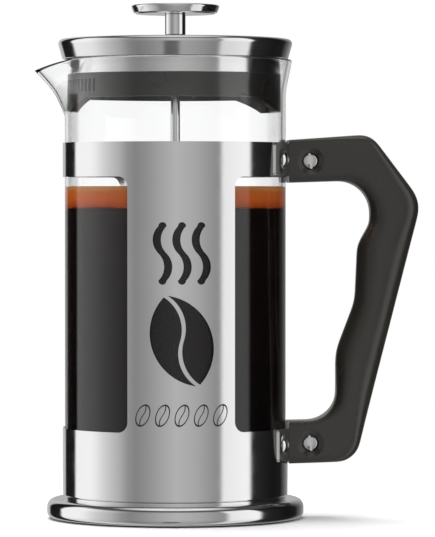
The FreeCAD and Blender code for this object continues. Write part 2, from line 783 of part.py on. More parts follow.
def make_handle():
    """Moulded grip, hollowed at its two ends for the bracket's ears and drilled across for the screws."""
    body = new_body("handle")
    profile = new_sketch(body, "XZ_Plane")
    handle_outline(profile)
    pad(body, profile, "handle_width", symmetric=True)

    root = number(SLEEVE_OUTSIDE)
    half = number("handle_width") / 2

    def long_edge(edge):
        ends = edge.Vertexes
        on_face = all(abs(abs(v.Y) - half) < HAIR for v in ends)
        same_face = ends[0].Y * ends[-1].Y > 0
        return on_face and same_face and not all(abs(v.X - root) < HAIR for v in ends)
    soften(body, "handle_edge", long_edge)

    seat = new_sketch(body, "XY_Plane")
    draw_circle(seat, "0", "0", BRACKET_OUTSIDE)
    pocket(body, seat, symmetric=True)

    slots = new_sketch(body, "XZ_Plane")
    for screw in (UPPER_SCREW, LOWER_SCREW):
        draw_box(slots, SLEEVE_OUTSIDE, f"{screw} - ear_half_height", f"{SCREW_OUT} + ear_tail",
                 f"{screw} + ear_half_height")
    pocket(body, slots, "ear_spread", symmetric=True)

    across = new_sketch(body, "XZ_Plane")
    for screw in (UPPER_SCREW, LOWER_SCREW):
        draw_circle(across, SCREW_OUT, screw, "barrel_radius + barrel_gap")
    pocket(body, across, symmetric=True)

    for screw in (UPPER_SCREW, LOWER_SCREW):
        recesses = screw_axis_sketch(body, screw)
        for side in (1, -1):
            draw(
                recesses,
                ("0", f"{side} * handle_width"),
                ("recess_radius", f"{side} * handle_width"),
                ("recess_radius", f"{side} * handle_width / 2"),
                ("head_radius + head_gap", f"{side} * (handle_width / 2 - recess_depth)"),
                ("head_radius + head_gap", f"{side} * head_seat"),
                ("0", f"{side} * head_seat"))
        turn(body, recesses, cut=True)


def make_screw(label, screw):
    """A slotted screw from the front, threaded into the barrel nut."""
    body = new_body(label)
    profile = screw_axis_sketch(body, screw)
    crown = "-(head_seat + head_height)"
    draw(
        profile,
        ("0", crown),
        ("head_radius", crown, "head_bend"),
        ("head_radius", "-head_seat"),
        ("thread_radius", "-head_seat"),
        ("thread_radius", "thread_length - head_seat"),
        ("0", "thread_length - head_seat"))
    turn(body, profile)

    driver = new_sketch(body, "XZ_Plane", base=(SCREW_OUT, screw, "head_seat + head_height"),
                        turn="driver_turn", axis=LOCAL_Z)
    draw_box(driver, "-driver_width / 2", "-2 * head_radius", "driver_width / 2", "2 * head_radius")
    pocket(body, driver, "driver_depth")


def make_barrel_nut(label, screw):
    """A domed nut from the back, its barrel through the handle and both ears."""
    body = new_body(label)
    profile = screw_axis_sketch(body, screw)
    crown = "(head_seat + head_height)"
    barrel_end = "(head_seat - barrel_length)"
    draw(
        profile,
        ("0", crown),
        ("0", "thread_length - head_seat"),
        ("thread_radius", "thread_length - head_seat"),
        ("thread_radius", barrel_end),
        ("barrel_radius", barrel_end),
        ("barrel_radius", "head_seat"),
        ("head_radius", "head_seat"),
        ("head_radius", crown, "head_bend"))
    turn(body, profile)


# ---------------------------------------------------------------------------------------------------------
# Beaker
# ---------------------------------------------------------------------------------------------------------


def spout_section(body, height, reach, half, base_in, rounded):
    """One level section of the spout: a blunt wedge that points to -X from inside the wall."""
    sketch = new_sketch(body, "XY_Plane", base=("0", "0", height))
    draw(
        sketch,
        (f"-({base_in})", f"({half})"),
        (f"-({reach})", "0", rounded),
        (f"-({base_in})", f"-({half})"))
    return sketch


def make_beaker():
    """Round glass with a heavy heel, a flared rim, and a spout whose rim slopes down to its point."""
    body = turned_part(
        "glass_beaker",
        ("0", GLASS_FOOT),
        ("glass_radius", GLASS_FOOT, "glass_heel"),
        ("glass_radius", RIM_FOOT, "rim_sweep"),
        (RIM_RADIUS, GLASS_TOP),
        ("0", GLASS_TOP))

    rim_out = f"{RIM_RADIUS} * sin(spout_spread)"
    rim_in = f"{RIM_RADIUS} * cos(spout_spread)"
    tip = "(glass_radius + spout_reach)"
    root = "(glass_radius - spout_root_inset)"
    root_height = f"({GLASS_TOP} - spout_drop)"
    outer = [
        spout_section(body, GLASS_TOP, tip, rim_out, rim_in, "spout_point"),
        spout_section(body, root_height, root, "spout_root_half", f"{rim_in}", "spout_point / 4")]
    loft(body, outer)

    hollow = new_sketch(body, "XZ_Plane")
    draw(
        hollow,
        ("0", GLASS_FLOOR),
        (GLASS_INSIDE, GLASS_FLOOR, "glass_heel - glass_wall"),
        (GLASS_INSIDE, RIM_FOOT, "rim_sweep"),
        (f"{RIM_RADIUS} - glass_wall", GLASS_TOP),
        ("0", GLASS_TOP))
    turn(body, hollow, cut=True)

    inner = [
        spout_section(body, GLASS_TOP, f"{tip} - spout_wall", f"{rim_out} - spout_wall", rim_in,
                      "spout_point - spout_wall / 2"),
        spout_section(body, root_height, f"{root} - spout_wall", "spout_root_half - spout_wall",
                      f"{rim_in}", "spout_point / 4")]
    loft(body, inner, cut=True)

    slope = new_sketch(body, "XZ_Plane")
    draw(
        slope,
        ("-glass_radius", GLASS_TOP),
        (f"-{tip}", f"{GLASS_TOP} - spout_slope"),
        (f"-{tip} - spout_reach", f"{GLASS_TOP} - spout_slope"),
        (f"-{tip} - spout_reach", f"{GLASS_TOP} + spout_slope"),
        ("-glass_radius", f"{GLASS_TOP} + spout_slope"))
    pocket(body, slope, symmetric=True)


# ---------------------------------------------------------------------------------------------------------
# Lid
# ---------------------------------------------------------------------------------------------------------


def trim_lugs(body, side, wide, narrow):
    """Cut the collar's lowest band away on one side, and leave a lug with slanted ends."""
    sketch = new_sketch(body, "YZ_Plane")
    far = f"({COLLAR_RADIUS} + collar_wall)"
    below = f"({LUG_FOOT} - lug_drop)"
    for sign in (1, -1):
        draw(
            sketch,
            (f"{sign} * {far}", below),
            (f"{sign} * {far}", COLLAR_FOOT),
            (f"{sign} * {COLLAR_RADIUS} * sin({wide})", COLLAR_FOOT),
            (f"{sign} * {COLLAR_RADIUS} * sin({narrow})", LUG_FOOT),
            (f"{sign} * {COLLAR_RADIUS} * sin({narrow})", below))
    pocket(body, sketch, forward=side > 0)


def make_lid():
    """Flared steel cap, the pan under it, and the plastic collar with its strainer comb."""
    cap_foot = f"({CAP_RADIUS} - cap_flare)"
    turned_part(
        "lid_cap",
        (LID_HOLE, SKIRT_TOP),
        (f"{CAP_RADIUS} - lid_sheet", SKIRT_TOP, "cap_bend - lid_sheet"),
        (f"{cap_foot} - lid_sheet", LID_SEAT),
        (cap_foot, LID_SEAT),
        (CAP_RADIUS, CAP_TOP, "cap_bend"),
        (LID_HOLE, CAP_TOP))

    turned_part(
        "lid_skirt",
        (LID_HOLE, SKIRT_UNDERSIDE),
        (f"{COLLAR_RADIUS} - lid_sheet", SKIRT_UNDERSIDE, "skirt_bend - lid_sheet"),
        (f"{COLLAR_RADIUS} - lid_sheet", COLLAR_TOP),
        (COLLAR_RADIUS, COLLAR_TOP),
        (COLLAR_RADIUS, SKIRT_TOP, "skirt_bend"),
        (LID_HOLE, SKIRT_TOP))

    collar = turned_part(
        "strainer_collar",
        (LID_HOLE, PLATE_UNDERSIDE),
        (COLLAR_INSIDE, PLATE_UNDERSIDE),
        (COLLAR_INSIDE, LUG_FOOT),
        (COLLAR_RADIUS, LUG_FOOT),
        (COLLAR_RADIUS, COLLAR_TOP),
        ("collar_boss", COLLAR_TOP),
        ("collar_boss", SKIRT_UNDERSIDE),
        (LID_HOLE, SKIRT_UNDERSIDE))
    trim_lugs(collar, -1, "spout_lug_wide", "spout_lug_narrow")
    trim_lugs(collar, 1, "back_lug_wide", "back_lug_narrow")

    comb_foot = f"({COLLAR_FOOT} + comb_rise)"
    comb = new_sketch(collar, "YZ_Plane", turn="comb_half")
    draw_box(comb, "-comb_width / 2", comb_foot, "comb_width / 2", f"{comb_foot} + comb_height")
    first = pocket(collar, comb)
    ring_of(collar, [first], comb, "round(2 * comb_half / comb_pitch) + 1", "2 * comb_half", backward=True)


def make_guide():
    """The flanged bush that carries the rod through the lid, with its washer and nut underneath."""
    bore = "(rod_radius + rod_gap)"
    tail = f"({NUT_FOOT} - guide_tail)"
    turned_part(
        "rod_guide",
        (bore, tail),
        ("guide_radius", tail),
        ("guide_radius", FLANGE_FOOT),
        ("flange_radius", FLANGE_FOOT),
        ("flange_radius", FLANGE_TOP, "guide_tail"),
        (bore, FLANGE_TOP))

    turned_part(
        "guide_washer",
        ("guide_radius", NUT_TOP),
        ("washer_radius", NUT_TOP),
        ("washer_radius", WASHER_TOP),
        ("guide_radius", WASHER_TOP))

    nut = new_body("guide_nut")
    hexagon = new_sketch(nut, "XY_Plane", base=("0", "0", NUT_FOOT))
    corners = []
    for k in range(6):
        corners.append((f"nut_flats / sqrt(3) * cos({60 * k})", f"nut_flats / sqrt(3) * sin({60 * k})"))
    draw(hexagon, *corners)
    draw_circle(hexagon, "0", "0", "guide_radius")
    pad(nut, hexagon, "nut_height")


# ---------------------------------------------------------------------------------------------------------
# Plunger and filter
# ---------------------------------------------------------------------------------------------------------


def make_plunger():
    """Rod, stem and two-piece knob."""
    turned_part(
        "plunger_rod",
        ("0", ROD_FOOT),
        ("rod_radius - pad_bevel", ROD_FOOT),
        ("rod_radius", f"{ROD_FOOT} + pad_bevel"),
        ("rod_radius", ROD_TOP),
        ("0", ROD_TOP))

    turned_part(
        "knob_stem",
        ("rod_radius", STEM_FOOT),
        ("stem_radius", STEM_FOOT),
        ("stem_radius", KNOB_FOOT),
        ("rod_radius", KNOB_FOOT))

    steel_foot = f"({KNOB_FOOT} + knob_lip)"
    turned_part(
        "knob_base",
        ("rod_radius", KNOB_FOOT),
        (f"{KNOB_INSIDE} - knob_lip", KNOB_FOOT),
        (KNOB_INSIDE, steel_foot),
        (KNOB_INSIDE, KNOB_CEILING),
        ("0", KNOB_CEILING),
        ("0", ROD_TOP),
        ("rod_radius", ROD_TOP))

    turned_part(
        "knob_cap",
        ("0", KNOB_CEILING),
        (KNOB_INSIDE, KNOB_CEILING),
        (KNOB_INSIDE, steel_foot),
        ("knob_radius - knob_taper", steel_foot),
        ("knob_radius", KNOB_TOP, "knob_bend"),
        ("0", KNOB_TOP))


def sector_hole(sketch, near, far, half):
    """A hole between two radii and to both sides of +X."""
    draw(
        sketch,
        (f"{near} * cos({half})", f"-{near} * sin({half})"),
        (f"{far} * cos({half})", f"-{far} * sin({half})"),
        Via(far, "0"),
        (f"{far} * cos({half})", f"{far} * sin({half})"),
        (f"{near} * cos({half})", f"{near} * sin({half})"),
        Via(near, "0"))


def ring_of_holes(body, circle_radius, hole_radius, count):
    """A ring of round holes down through the body."""
    sketch = new_sketch(body, "XY_Plane")
    draw_circle(sketch, circle_radius, "0", hole_radius)
    hole = pocket(body, sketch, symmetric=True)
    ring_of(body, [hole], sketch, count)


def make_filter():
    """From the bottom up: cross plate, mesh, coiled edge spring, pressing plate and hub."""
    cross = turned_part(
        "cross_plate",
        ("rod_radius", ROD_FOOT),
        ("cross_boss", ROD_FOOT),
        ("cross_boss", CROSS_FOOT),
        (CROSS_RADIUS, CROSS_FOOT),
        (CROSS_RADIUS, MESH_FOOT),
        ("rod_radius", MESH_FOOT))
    opening = new_sketch(cross, "XY_Plane")
    sector_hole(opening, "cross_eye", f"({CROSS_RADIUS} - cross_rim)", "(45 - spoke_half)")
    first = pocket(cross, opening, symmetric=True)
    ring_of(cross, [first], opening, "4")

    turned_part(
        "mesh_screen",
        ("rod_radius", MESH_FOOT),
        (MESH_RADIUS, MESH_FOOT),
        (MESH_RADIUS, f"{MESH_FOOT} + mesh_rim"),
        (f"{MESH_RADIUS} - mesh_sheet", f"{MESH_FOOT} + mesh_rim"),
        (f"{MESH_RADIUS} - mesh_sheet", MESH_TOP),
        ("rod_radius", MESH_TOP))

    spring = keep(doc.addObject("Part::Torus", "edge_spring"))
    spring.Label = "edge_spring"
    spring.setExpression("Radius1", bound(SPRING_MIDDLE))
    spring.setExpression("Radius2", bound("spring_wire"))
    spring.setExpression("Placement.Base.z", bound(f"{MESH_TOP} + spring_wire"))

    plate = turned_part(
        "spiral_plate",
        ("rod_radius", f"{PLATE_TOP} - plate_sheet"),
        (f"{PLATE_RADIUS} - plate_sheet", f"{PLATE_TOP} - plate_sheet"),
        (f"{PLATE_RADIUS} - plate_sheet", MESH_TOP),
        (PLATE_RADIUS, MESH_TOP),
        (PLATE_RADIUS, PLATE_TOP),
        ("rod_radius", PLATE_TOP))
    ring_of_holes(plate, "plate_outer_ring", "plate_outer_hole", "14")
    ring_of_holes(plate, "plate_inner_ring", "plate_inner_hole", "8")

    turned_part(
        "filter_hub",
        ("rod_radius", PLATE_TOP),
        ("hub_radius", PLATE_TOP),
        ("hub_radius", f"{PLATE_TOP} + hub_height", "guide_tail"),
        ("rod_radius", f"{PLATE_TOP} + hub_height"))


# ---------------------------------------------------------------------------------------------------------
# Checks and files
# ---------------------------------------------------------------------------------------------------------


def check_document():
    """Stop if any object failed, or if a sub-part isn't whole."""
    for item in doc.Objects:
        if "Invalid" in item.State or "Error" in item.State:
            raise RuntimeError(f"{item.Label} failed: {item.State}")
        if item.isDerivedFrom("Sketcher::SketchObject") and not item.FullyConstrained:
            raise RuntimeError(f"{item.Label} isn't fully tied to the sheet")
    for item in sub_parts:
        if item.Shape.isNull() or not item.Shape.isValid() or not item.Shape.Solids:
            raise RuntimeError(f"{item.Label} has no whole solid")


def write_parts():
    """Write each sub-part's solid to its own file."""
    os.makedirs("parts", exist_ok=True)
    for item in sub_parts:
        item.Shape.exportStep(f"parts/{item.Label}.step")
        print(f"{item.Label:18} {len(item.Shape.Solids)} solid, {item.Shape.Volume / 1000:8.2f} cubic cm")


fill_sheet()
make_base()
make_sleeve()
make_bracket("upper_bracket", UPPER_MOUNT, UPPER_SCREW, "upper_wing")
make_bracket("lower_bracket", LOWER_MOUNT, LOWER_SCREW, "lower_wing")
make_rivets("upper_rivets", UPPER_MOUNT)
make_rivets("lower_rivets", LOWER_MOUNT)
make_handle()
for end_name, end_screw in (("upper", UPPER_SCREW), ("lower", LOWER_SCREW)):
    make_screw(f"{end_name}_screw", end_screw)
    make_barrel_nut(f"{end_name}_barrel_nut", end_screw)
make_beaker()
make_lid()
make_guide()
make_plunger()
make_filter()
doc.recompute()
check_document()
write_parts()
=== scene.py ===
# %% [markdown]
# # A French press in polished steel, glass and moulded plastic
# The CAD frame already holds every solid at its true size and place. This script gives each of them the
# surface that a hand or an eye would meet: turned steel with soft bends, a blown glass beaker with its
# spout, a coiled spring, coffee and its foam. Most pieces of a press are round, and many of them are made
# by turning a short outline about the upright axis.

# %% Load the frame
import json
import math
import bmesh
import bpy
import numpy as np
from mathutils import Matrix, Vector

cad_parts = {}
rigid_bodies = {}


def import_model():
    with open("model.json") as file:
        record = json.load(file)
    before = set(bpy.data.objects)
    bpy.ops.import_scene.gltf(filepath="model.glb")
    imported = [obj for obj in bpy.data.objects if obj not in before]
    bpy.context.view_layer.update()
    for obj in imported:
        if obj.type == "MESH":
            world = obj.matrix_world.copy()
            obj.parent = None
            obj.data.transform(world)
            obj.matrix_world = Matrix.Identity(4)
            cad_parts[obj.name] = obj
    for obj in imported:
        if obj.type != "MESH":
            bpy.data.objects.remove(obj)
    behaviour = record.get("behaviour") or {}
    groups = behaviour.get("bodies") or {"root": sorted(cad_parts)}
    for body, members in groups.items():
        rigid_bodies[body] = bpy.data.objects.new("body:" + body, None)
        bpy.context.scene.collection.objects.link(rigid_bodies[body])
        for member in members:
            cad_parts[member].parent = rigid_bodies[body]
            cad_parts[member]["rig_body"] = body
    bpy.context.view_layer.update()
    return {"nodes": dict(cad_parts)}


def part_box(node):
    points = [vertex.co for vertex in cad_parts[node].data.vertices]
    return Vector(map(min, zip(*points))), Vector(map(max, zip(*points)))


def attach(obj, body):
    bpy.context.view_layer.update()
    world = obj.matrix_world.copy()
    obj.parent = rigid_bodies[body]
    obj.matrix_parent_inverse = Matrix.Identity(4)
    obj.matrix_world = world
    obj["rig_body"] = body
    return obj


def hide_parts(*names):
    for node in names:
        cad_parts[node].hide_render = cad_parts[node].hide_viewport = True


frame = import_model()
scene = bpy.context.scene
MM = 0.001

# %% [markdown]
# ## Building a finish from nodes
# Every finish is a Principled shader fed by a few pattern nodes that read Object coordinates. The pieces
# all sit at the origin, so Object coordinates are metres in the press's own space, and a pattern keeps its
# true scale on every piece. A few helpers keep the later cells short: `add` makes a node and ties its
# sockets, `calc` does one step of arithmetic, and the others lay down the patterns that finishes share.


# %% Node helpers
def add(tree, kind, inputs=None, **settings):
    """Add one node; each input is either a plain value or another node's output socket."""
    made = tree.nodes.new("ShaderNode" + kind)
    for name, value in settings.items():
        setattr(made, name, value)
    for name, value in (inputs or {}).items():
        if isinstance(value, bpy.types.NodeSocket):
            tree.links.new(value, made.inputs[name])
        else:
            made.inputs[name].default_value = value
    return made


def calc(tree, operation, *values):
    """One step of arithmetic, as a socket that the next node can read."""
    return add(tree, "Math", dict(enumerate(values)), operation=operation).outputs[0]


def new_finish(name, **plain):
    """An empty finish: its tree, its Principled shader and the Object coordinates. `plain` values go
    straight on the shader's own sockets, with underscores for spaces."""
    finish = bpy.data.materials.new(name)
    finish.use_nodes = True
    tree = finish.node_tree
    tree.nodes.clear()
    shader = add(tree, "BsdfPrincipled")
    for socket, value in plain.items():
        shader.inputs[socket.replace("_", " ")].default_value = value
    add(tree, "OutputMaterial", {"Surface": shader.outputs["BSDF"]})
    place = add(tree, "TexCoord").outputs["Object"]
    return finish, tree, shader, place


def noise(tree, place, scale, stretch=(1, 1, 1), detail=3.0):
    """Cloudy noise, `scale` cells to the metre; stretch squeezes it along the axes."""
    squeezed = add(tree, "Mapping", {"Vector": place, "Scale": stretch}).outputs["Vector"]
    made = add(tree, "TexNoise", {"Vector": squeezed, "Scale": scale, "Detail": detail})
    return made.outputs["Fac"]


def spread(tree, value, low, high, start=0.3, end=0.7):
    """Carry a pattern's start..end onto low..high."""
    inputs = {"Value": value, "From Min": start, "From Max": end, "To Min": low, "To Max": high}
    return add(tree, "MapRange", inputs).outputs["Result"]


def blend_colours(tree, share, first, second):
    """A colour between two, by a pattern from 0 to 1."""
    ramp = add(tree, "ValToRGB", {"Fac": share})
    for stop, colour in zip(ramp.color_ramp.elements, (first, second)):
        stop.color = (*colour, 1)
    return ramp.outputs["Color"]


def raise_by(tree, shader, height, strength, distance):
    """Let a pattern stand proud of the surface by up to `distance` metres."""
    bump = add(tree, "Bump", {"Height": height, "Strength": strength, "Distance": distance})
    tree.links.new(bump.outputs["Normal"], shader.inputs["Normal"])


print("node helpers ready")

# %% [markdown]
# ## Polished steel
# The sleeve, lid, knob and base ring are stainless sheet, buffed until it mirrors the room. A perfect mirror
# looks like computer chrome, so three faint things are laid over it: broad clouds in the colour, a haze of
# wiping marks in the roughness, and hair-fine buffing lines that run round the press. The brackets, rivets,
# screws, barrel nuts and rod wear the same finish.


# %% Polished steel
def polished_steel(name):
    """Buffed sheet: clouds in the colour, wiping marks and buffing lines in the roughness and the bump."""
    finish, tree, shader, place = new_finish(name, Metallic=1.0, Specular_IOR_Level=0.5)
    clouds = noise(tree, place, 18.0)
    tint = blend_colours(tree, clouds, (0.86, 0.86, 0.87), (0.93, 0.93, 0.925))
    tree.links.new(tint, shader.inputs["Base Color"])
    wiping = noise(tree, place, 70.0, stretch=(1, 1, 2.5), detail=6.0)
    lines = noise(tree, place, 500.0, stretch=(0.05, 0.05, 12.0))
    haze = calc(tree, "ADD", spread(tree, wiping, 0.05, 0.11), spread(tree, lines, 0.0, 0.035))
    tree.links.new(haze, shader.inputs["Roughness"])
    raise_by(tree, shader, lines, 0.06, 0.00002)
    return finish


mirror_steel = polished_steel("polished_steel")
print("finish:", mirror_steel.name)

# %% [markdown]
# ## Plain steel
# The base floor, the lid's guide and nut, and the filter's plates, hub and spring are bright but not
# buffed. Their roughness is higher, and the marks of the tool are coarser.

# %% Plain steel
satin_steel, tree, shader, place = new_finish("plain_steel", Metallic=1.0)
tool_marks = noise(tree, place, 700.0, stretch=(1, 1, 0.15), detail=4.0)
patches = noise(tree, place, 45.0)
greys = blend_colours(tree, patches, (0.60, 0.60, 0.61), (0.74, 0.74, 0.75))
tree.links.new(greys, shader.inputs["Base Color"])
tree.links.new(spread(tree, tool_marks, 0.16, 0.34), shader.inputs["Roughness"])
raise_by(tree, shader, tool_marks, 0.15, 0.00003)
print("finish:", satin_steel.name)

# %% [markdown]
# ## Moulded plastic and rubber
# The handle and the strainer collar come out of a mould whose walls were spark-eroded, which leaves a fine
# even grain that turns hard gloss into a satin sheen. Hands polish it a little, so the roughness drifts.
# Rubber is the same idea with a coarser, duller grain.


# %% Moulded plastic and rubber
def moulded(name, dark, light, roughness, grain, depth, **plain):
    """Grained plastic or rubber: a fine bump, and colour and roughness that drift slowly."""
    finish, tree, shader, place = new_finish(name, **plain)
    drift = noise(tree, place, 35.0, detail=5.0)
    tree.links.new(blend_colours(tree, drift, dark, light), shader.inputs["Base Color"])
    tree.links.new(spread(tree, drift, *roughness), shader.inputs["Roughness"])
    raise_by(tree, shader, noise(tree, place, grain, detail=2.0), 0.35, depth)
    return finish


black_plastic = moulded(
    "black_plastic", (0.030, 0.0272, 0.0225), (0.040, 0.0365, 0.0305), (0.24, 0.33), 2600.0, 5e-5, IOR=1.62)
black_rubber = moulded(
    "black_rubber", (0.018, 0.018, 0.018), (0.034, 0.033, 0.032), (0.62, 0.78), 1500.0, 1e-4)
print("finishes:", black_plastic.name, black_rubber.name)

# %% [markdown]
# ## Clear glass
# Borosilicate glass is clear because it bends light rather than painting it: full transmission and an index
# of 1.47. The slow swell of a blown wall is a very shallow, very broad bump.

# %% Clear glass
clear_glass, tree, shader, place = new_finish(
    "clear_glass", Transmission_Weight=1.0, IOR=1.47, Specular_IOR_Level=0.5)
swell = noise(tree, place, 14.0, stretch=(1, 1, 0.4), detail=1.0)
smears = noise(tree, place, 40.0, detail=5.0)
tint = blend_colours(tree, smears, (0.985, 0.992, 0.99), (1.0, 1.0, 1.0))
tree.links.new(tint, shader.inputs["Base Color"])
tree.links.new(spread(tree, smears, 0.0, 0.012, start=0.45), shader.inputs["Roughness"])
raise_by(tree, shader, swell, 0.05, 0.0004)
print("finish:", clear_glass.name)

# %% [markdown]
# ## Surfaces from two parameters
# A turned piece is an outline carried round an axis: one parameter runs along the outline, the other round
# the turn. numpy works out the whole grid at once. An outline is given by its corners, each with its own
# bend, because sheet metal has no truly sharp edges, and because a small bend is what catches the light.
# A short straight run is kept beside each bend so that smooth shading leaves the flats flat.


# %% Outlines and grids
def rounded(corners, steps=6):
    """An outline from (radius, height, bend) corners in millimetres.

    Each bent corner becomes an arc that touches both its sides: its ends lie bend / tan(half the corner's
    angle) from the corner, and its centre bend / sin(half the angle) along the middle line.
    """
    points = np.array([corner[:2] for corner in corners], float)
    outline = []
    for i, corner in enumerate(corners):
        bend = corner[2] if len(corner) > 2 else 0
        if not bend:
            outline.append(points[i])
            continue
        back, ahead = points[i - 1] - points[i], points[(i + 1) % len(points)] - points[i]
        runs = np.hypot(*back), np.hypot(*ahead)
        back, ahead = back / runs[0], ahead / runs[1]
        half = math.acos(np.clip(back @ ahead, -1, 1)) / 2
        reach = bend / math.tan(half)
        centre = points[i] + (back + ahead) / np.hypot(*(back + ahead)) * bend / math.sin(half)
        start, end = points[i] + back * reach, points[i] + ahead * reach
        first = math.atan2(*(start - centre)[::-1])
        sweep = (math.atan2(*(end - centre)[::-1]) - first + math.pi) % (2 * math.pi) - math.pi
        angles = first + sweep * np.linspace(0, 1, steps + 1)
        hold = [min(0.2 * bend + 0.02, 0.3 * max(run - reach, 0.01)) for run in runs]
        outline.append(start + back * hold[0])
        outline.extend(centre + bend * np.stack([np.cos(angles), np.sin(angles)], -1))
        outline.append(end + ahead * hold[1])
    return np.array(outline)


def grid_faces(rows, columns, loop_rows, loop_columns):
    """Four-cornered faces between neighbouring grid points; a looped direction joins last to first."""
    row = np.arange(rows if loop_rows else rows - 1)[:, None]
    column = np.arange(columns if loop_columns else columns - 1)[None, :]
    next_row, next_column = (row + 1) % rows, (column + 1) % columns
    corners = [row * columns + column, row * columns + next_column,
               next_row * columns + next_column, next_row * columns + column]
    return np.stack([np.broadcast_to(c, (row.size, column.size)) for c in corners], -1).reshape(-1, 4)


def volume(points, faces):
    """Six times the signed volume: the sum, over the faces' triangles, of a . (b x c)."""
    a, b, c, d = (points[faces[:, k]] for k in range(4))
    return np.einsum("ij,ij->", a, np.cross(b, c)) + np.einsum("ij,ij->", a, np.cross(c, d))


square = rounded([(0, 0, 1), (9, 0, 1), (9, 9, 1), (0, 9, 1)])
print("outline check, a square with bent corners:", len(square), "points")

# %% [markdown]
# ## From grid to piece
# A grid becomes a mesh whose faces point outwards, whose poles are merged to one point, and which rides on
# the body of the solid it stands for. Its place is in its mesh, so the object itself stays at the origin.


# %% Finishing a piece
def adopt(name, mesh, finish, body, stands_for=()):
    """Link a mesh as a piece that rides on a body, takes a finish and stands for CAD solids."""
    piece = bpy.data.objects.new(name, mesh)
    scene.collection.objects.link(piece)
    mesh.materials.clear()
    mesh.materials.append(finish)
    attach(piece, body)
    if stands_for:
        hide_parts(*stands_for)
    print(f"{name}: {len(mesh.polygons)} faces on {body}")
    return piece


def surface(name, points, faces, finish, body, stands_for=()):
    """A closed piece from grid points in millimetres, turned the right way out by the sign of its volume."""
    points = points.reshape(-1, 3) * MM
    if volume(points, faces) < 0:
        faces = faces[:, ::-1]
    mesh = bpy.data.meshes.new(name)
    mesh.from_pydata(points.tolist(), [], faces.tolist())
    shape = bmesh.new()
    shape.from_mesh(mesh)
    bmesh.ops.remove_doubles(shape, verts=shape.verts, dist=1e-7)
    shape.to_mesh(mesh)
    shape.free()
    mesh.polygons.foreach_set("use_smooth", np.ones(len(mesh.polygons), bool))
    return adopt(name, mesh, finish, body, stands_for)


def turned(outline, columns=216):
    """Grid of a turned piece: point (i, j) is the outline's point i at angle j, at radius from the axis."""
    angle = np.linspace(0, 2 * np.pi, columns, endpoint=False)
    radius, height = outline[:, :1], outline[:, 1:]
    return np.stack([radius * np.cos(angle), radius * np.sin(angle), height + 0 * angle], -1)


def lathe(name, corners, finish, columns=216, steps=6, body=None):
    """Turn an outline about the press's axis. An outline that starts on the axis also ends there. The
    piece stands for the CAD solid of its name, unless it is given a body, when it stands for none."""
    outline = rounded(corners, steps)
    loop = corners[0][0] > 0
    points = turned(outline, columns)
    faces = grid_faces(len(outline), columns, loop, True)
    stands_for = () if body else (name,)
    body = body or frame["nodes"][name]["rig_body"]
    return surface(name + "_turned", points, faces, finish, body, stands_for)


def extent(node):
    """A round solid's outer radius, foot and top in millimetres, read from the frame."""
    low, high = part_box(node)
    return high.y / MM, low.z / MM, high.z / MM


print("the sleeve's radius, foot and top:", [round(v, 2) for v in extent("frame_sleeve")])

# %% [markdown]
# ## The base
# The base is a pressed ring with a rubber pad under it and a rubber cushion inside, on which the glass
# stands. The ring is one sheet bent twice, so its outline is a C of constant thickness. Rings pressed into
# the two pads keep them from skating.

# %% Base ring, pads and floor
SHEET_RING = 1.0
RING_BEND = 2.4
RING_SHOULDER = 3.6
ring_radius, ring_foot, ring_top = extent("base_ring")
pad_radius, pad_foot, pad_top = extent("foot_pad")
sleeve_radius = extent("frame_sleeve")[0]
NECK_STEP = 0.8
ledge_radius = sleeve_radius - NECK_STEP
inner_wall = ring_radius - SHEET_RING
lathe("base_ring", [
    (pad_radius, ring_foot, 0.3),
    (ring_radius, ring_foot, RING_BEND),
    (ring_radius, ring_top, RING_SHOULDER),
    (ledge_radius, ring_top, 0.3),
    (ledge_radius, ring_top - SHEET_RING, 0.3),
    (inner_wall, ring_top - SHEET_RING, RING_SHOULDER - SHEET_RING),
    (inner_wall, ring_foot + SHEET_RING, RING_BEND - SHEET_RING),
    (pad_radius, ring_foot + SHEET_RING, 0.3)], mirror_steel, columns=288, steps=8)


def grooves(radii, level, depth, width=2.4, lip=0.6):
    """Corners of shallow round grooves cut into a level face, from the first radius outwards or inwards."""
    side = 1 if radii[-1] > radii[0] else -1
    corners = []
    for radius in radii:
        near, far = radius - side * width / 2, radius + side * width / 2
        corners += [(near - side * lip, level, 0.2), (near, level + depth, 0.2),
                    (far, level + depth, 0.2), (far + side * lip, level, 0.2)]
    return corners


lathe("foot_pad", [
    (0, pad_foot), *grooves((14, 24, 34, 44), pad_foot, 0.5), (pad_radius, pad_foot, 0.4),
    (pad_radius, pad_top, 0.15), (0, pad_top)], black_rubber)
cushion_radius, cushion_foot, cushion_top = extent("glass_cushion")
lathe("glass_cushion", [
    (0, cushion_foot), (cushion_radius, cushion_foot, 0.2), (cushion_radius, cushion_top, 0.6),
    *grooves((31, 22, 13), cushion_top, -0.5), (0, cushion_top)], black_rubber)

# %% [markdown]
# ## Copies of the CAD solids
# Where a solid's shape is already right, it is copied and its loose triangles are merged. Polished metal
# shows every mistake in the shading, so the copy's corner normals are settled in two steps. Weighted
# normals keep flats flat beside their small bends. Then every corner of a face that lies on a wall round
# the press's axis gets the normal of the true cylinder: straight out outside, straight in inside.


# %% Copies that catch the light properly
def merged_copy(node):
    """The CAD solid's mesh with its triangles joined and its stored shading dropped."""
    mesh = frame["nodes"][node].data.copy()
    mesh.name = node + "_skin"
    shape = bmesh.new()
    shape.from_mesh(mesh)
    bmesh.ops.remove_doubles(shape, verts=shape.verts, dist=2e-6)
    shape.to_mesh(mesh)
    shape.free()
    if "custom_normal" in mesh.attributes:
        mesh.attributes.remove(mesh.attributes["custom_normal"])
    mesh.polygons.foreach_set("use_smooth", np.ones(len(mesh.polygons), bool))
    return mesh


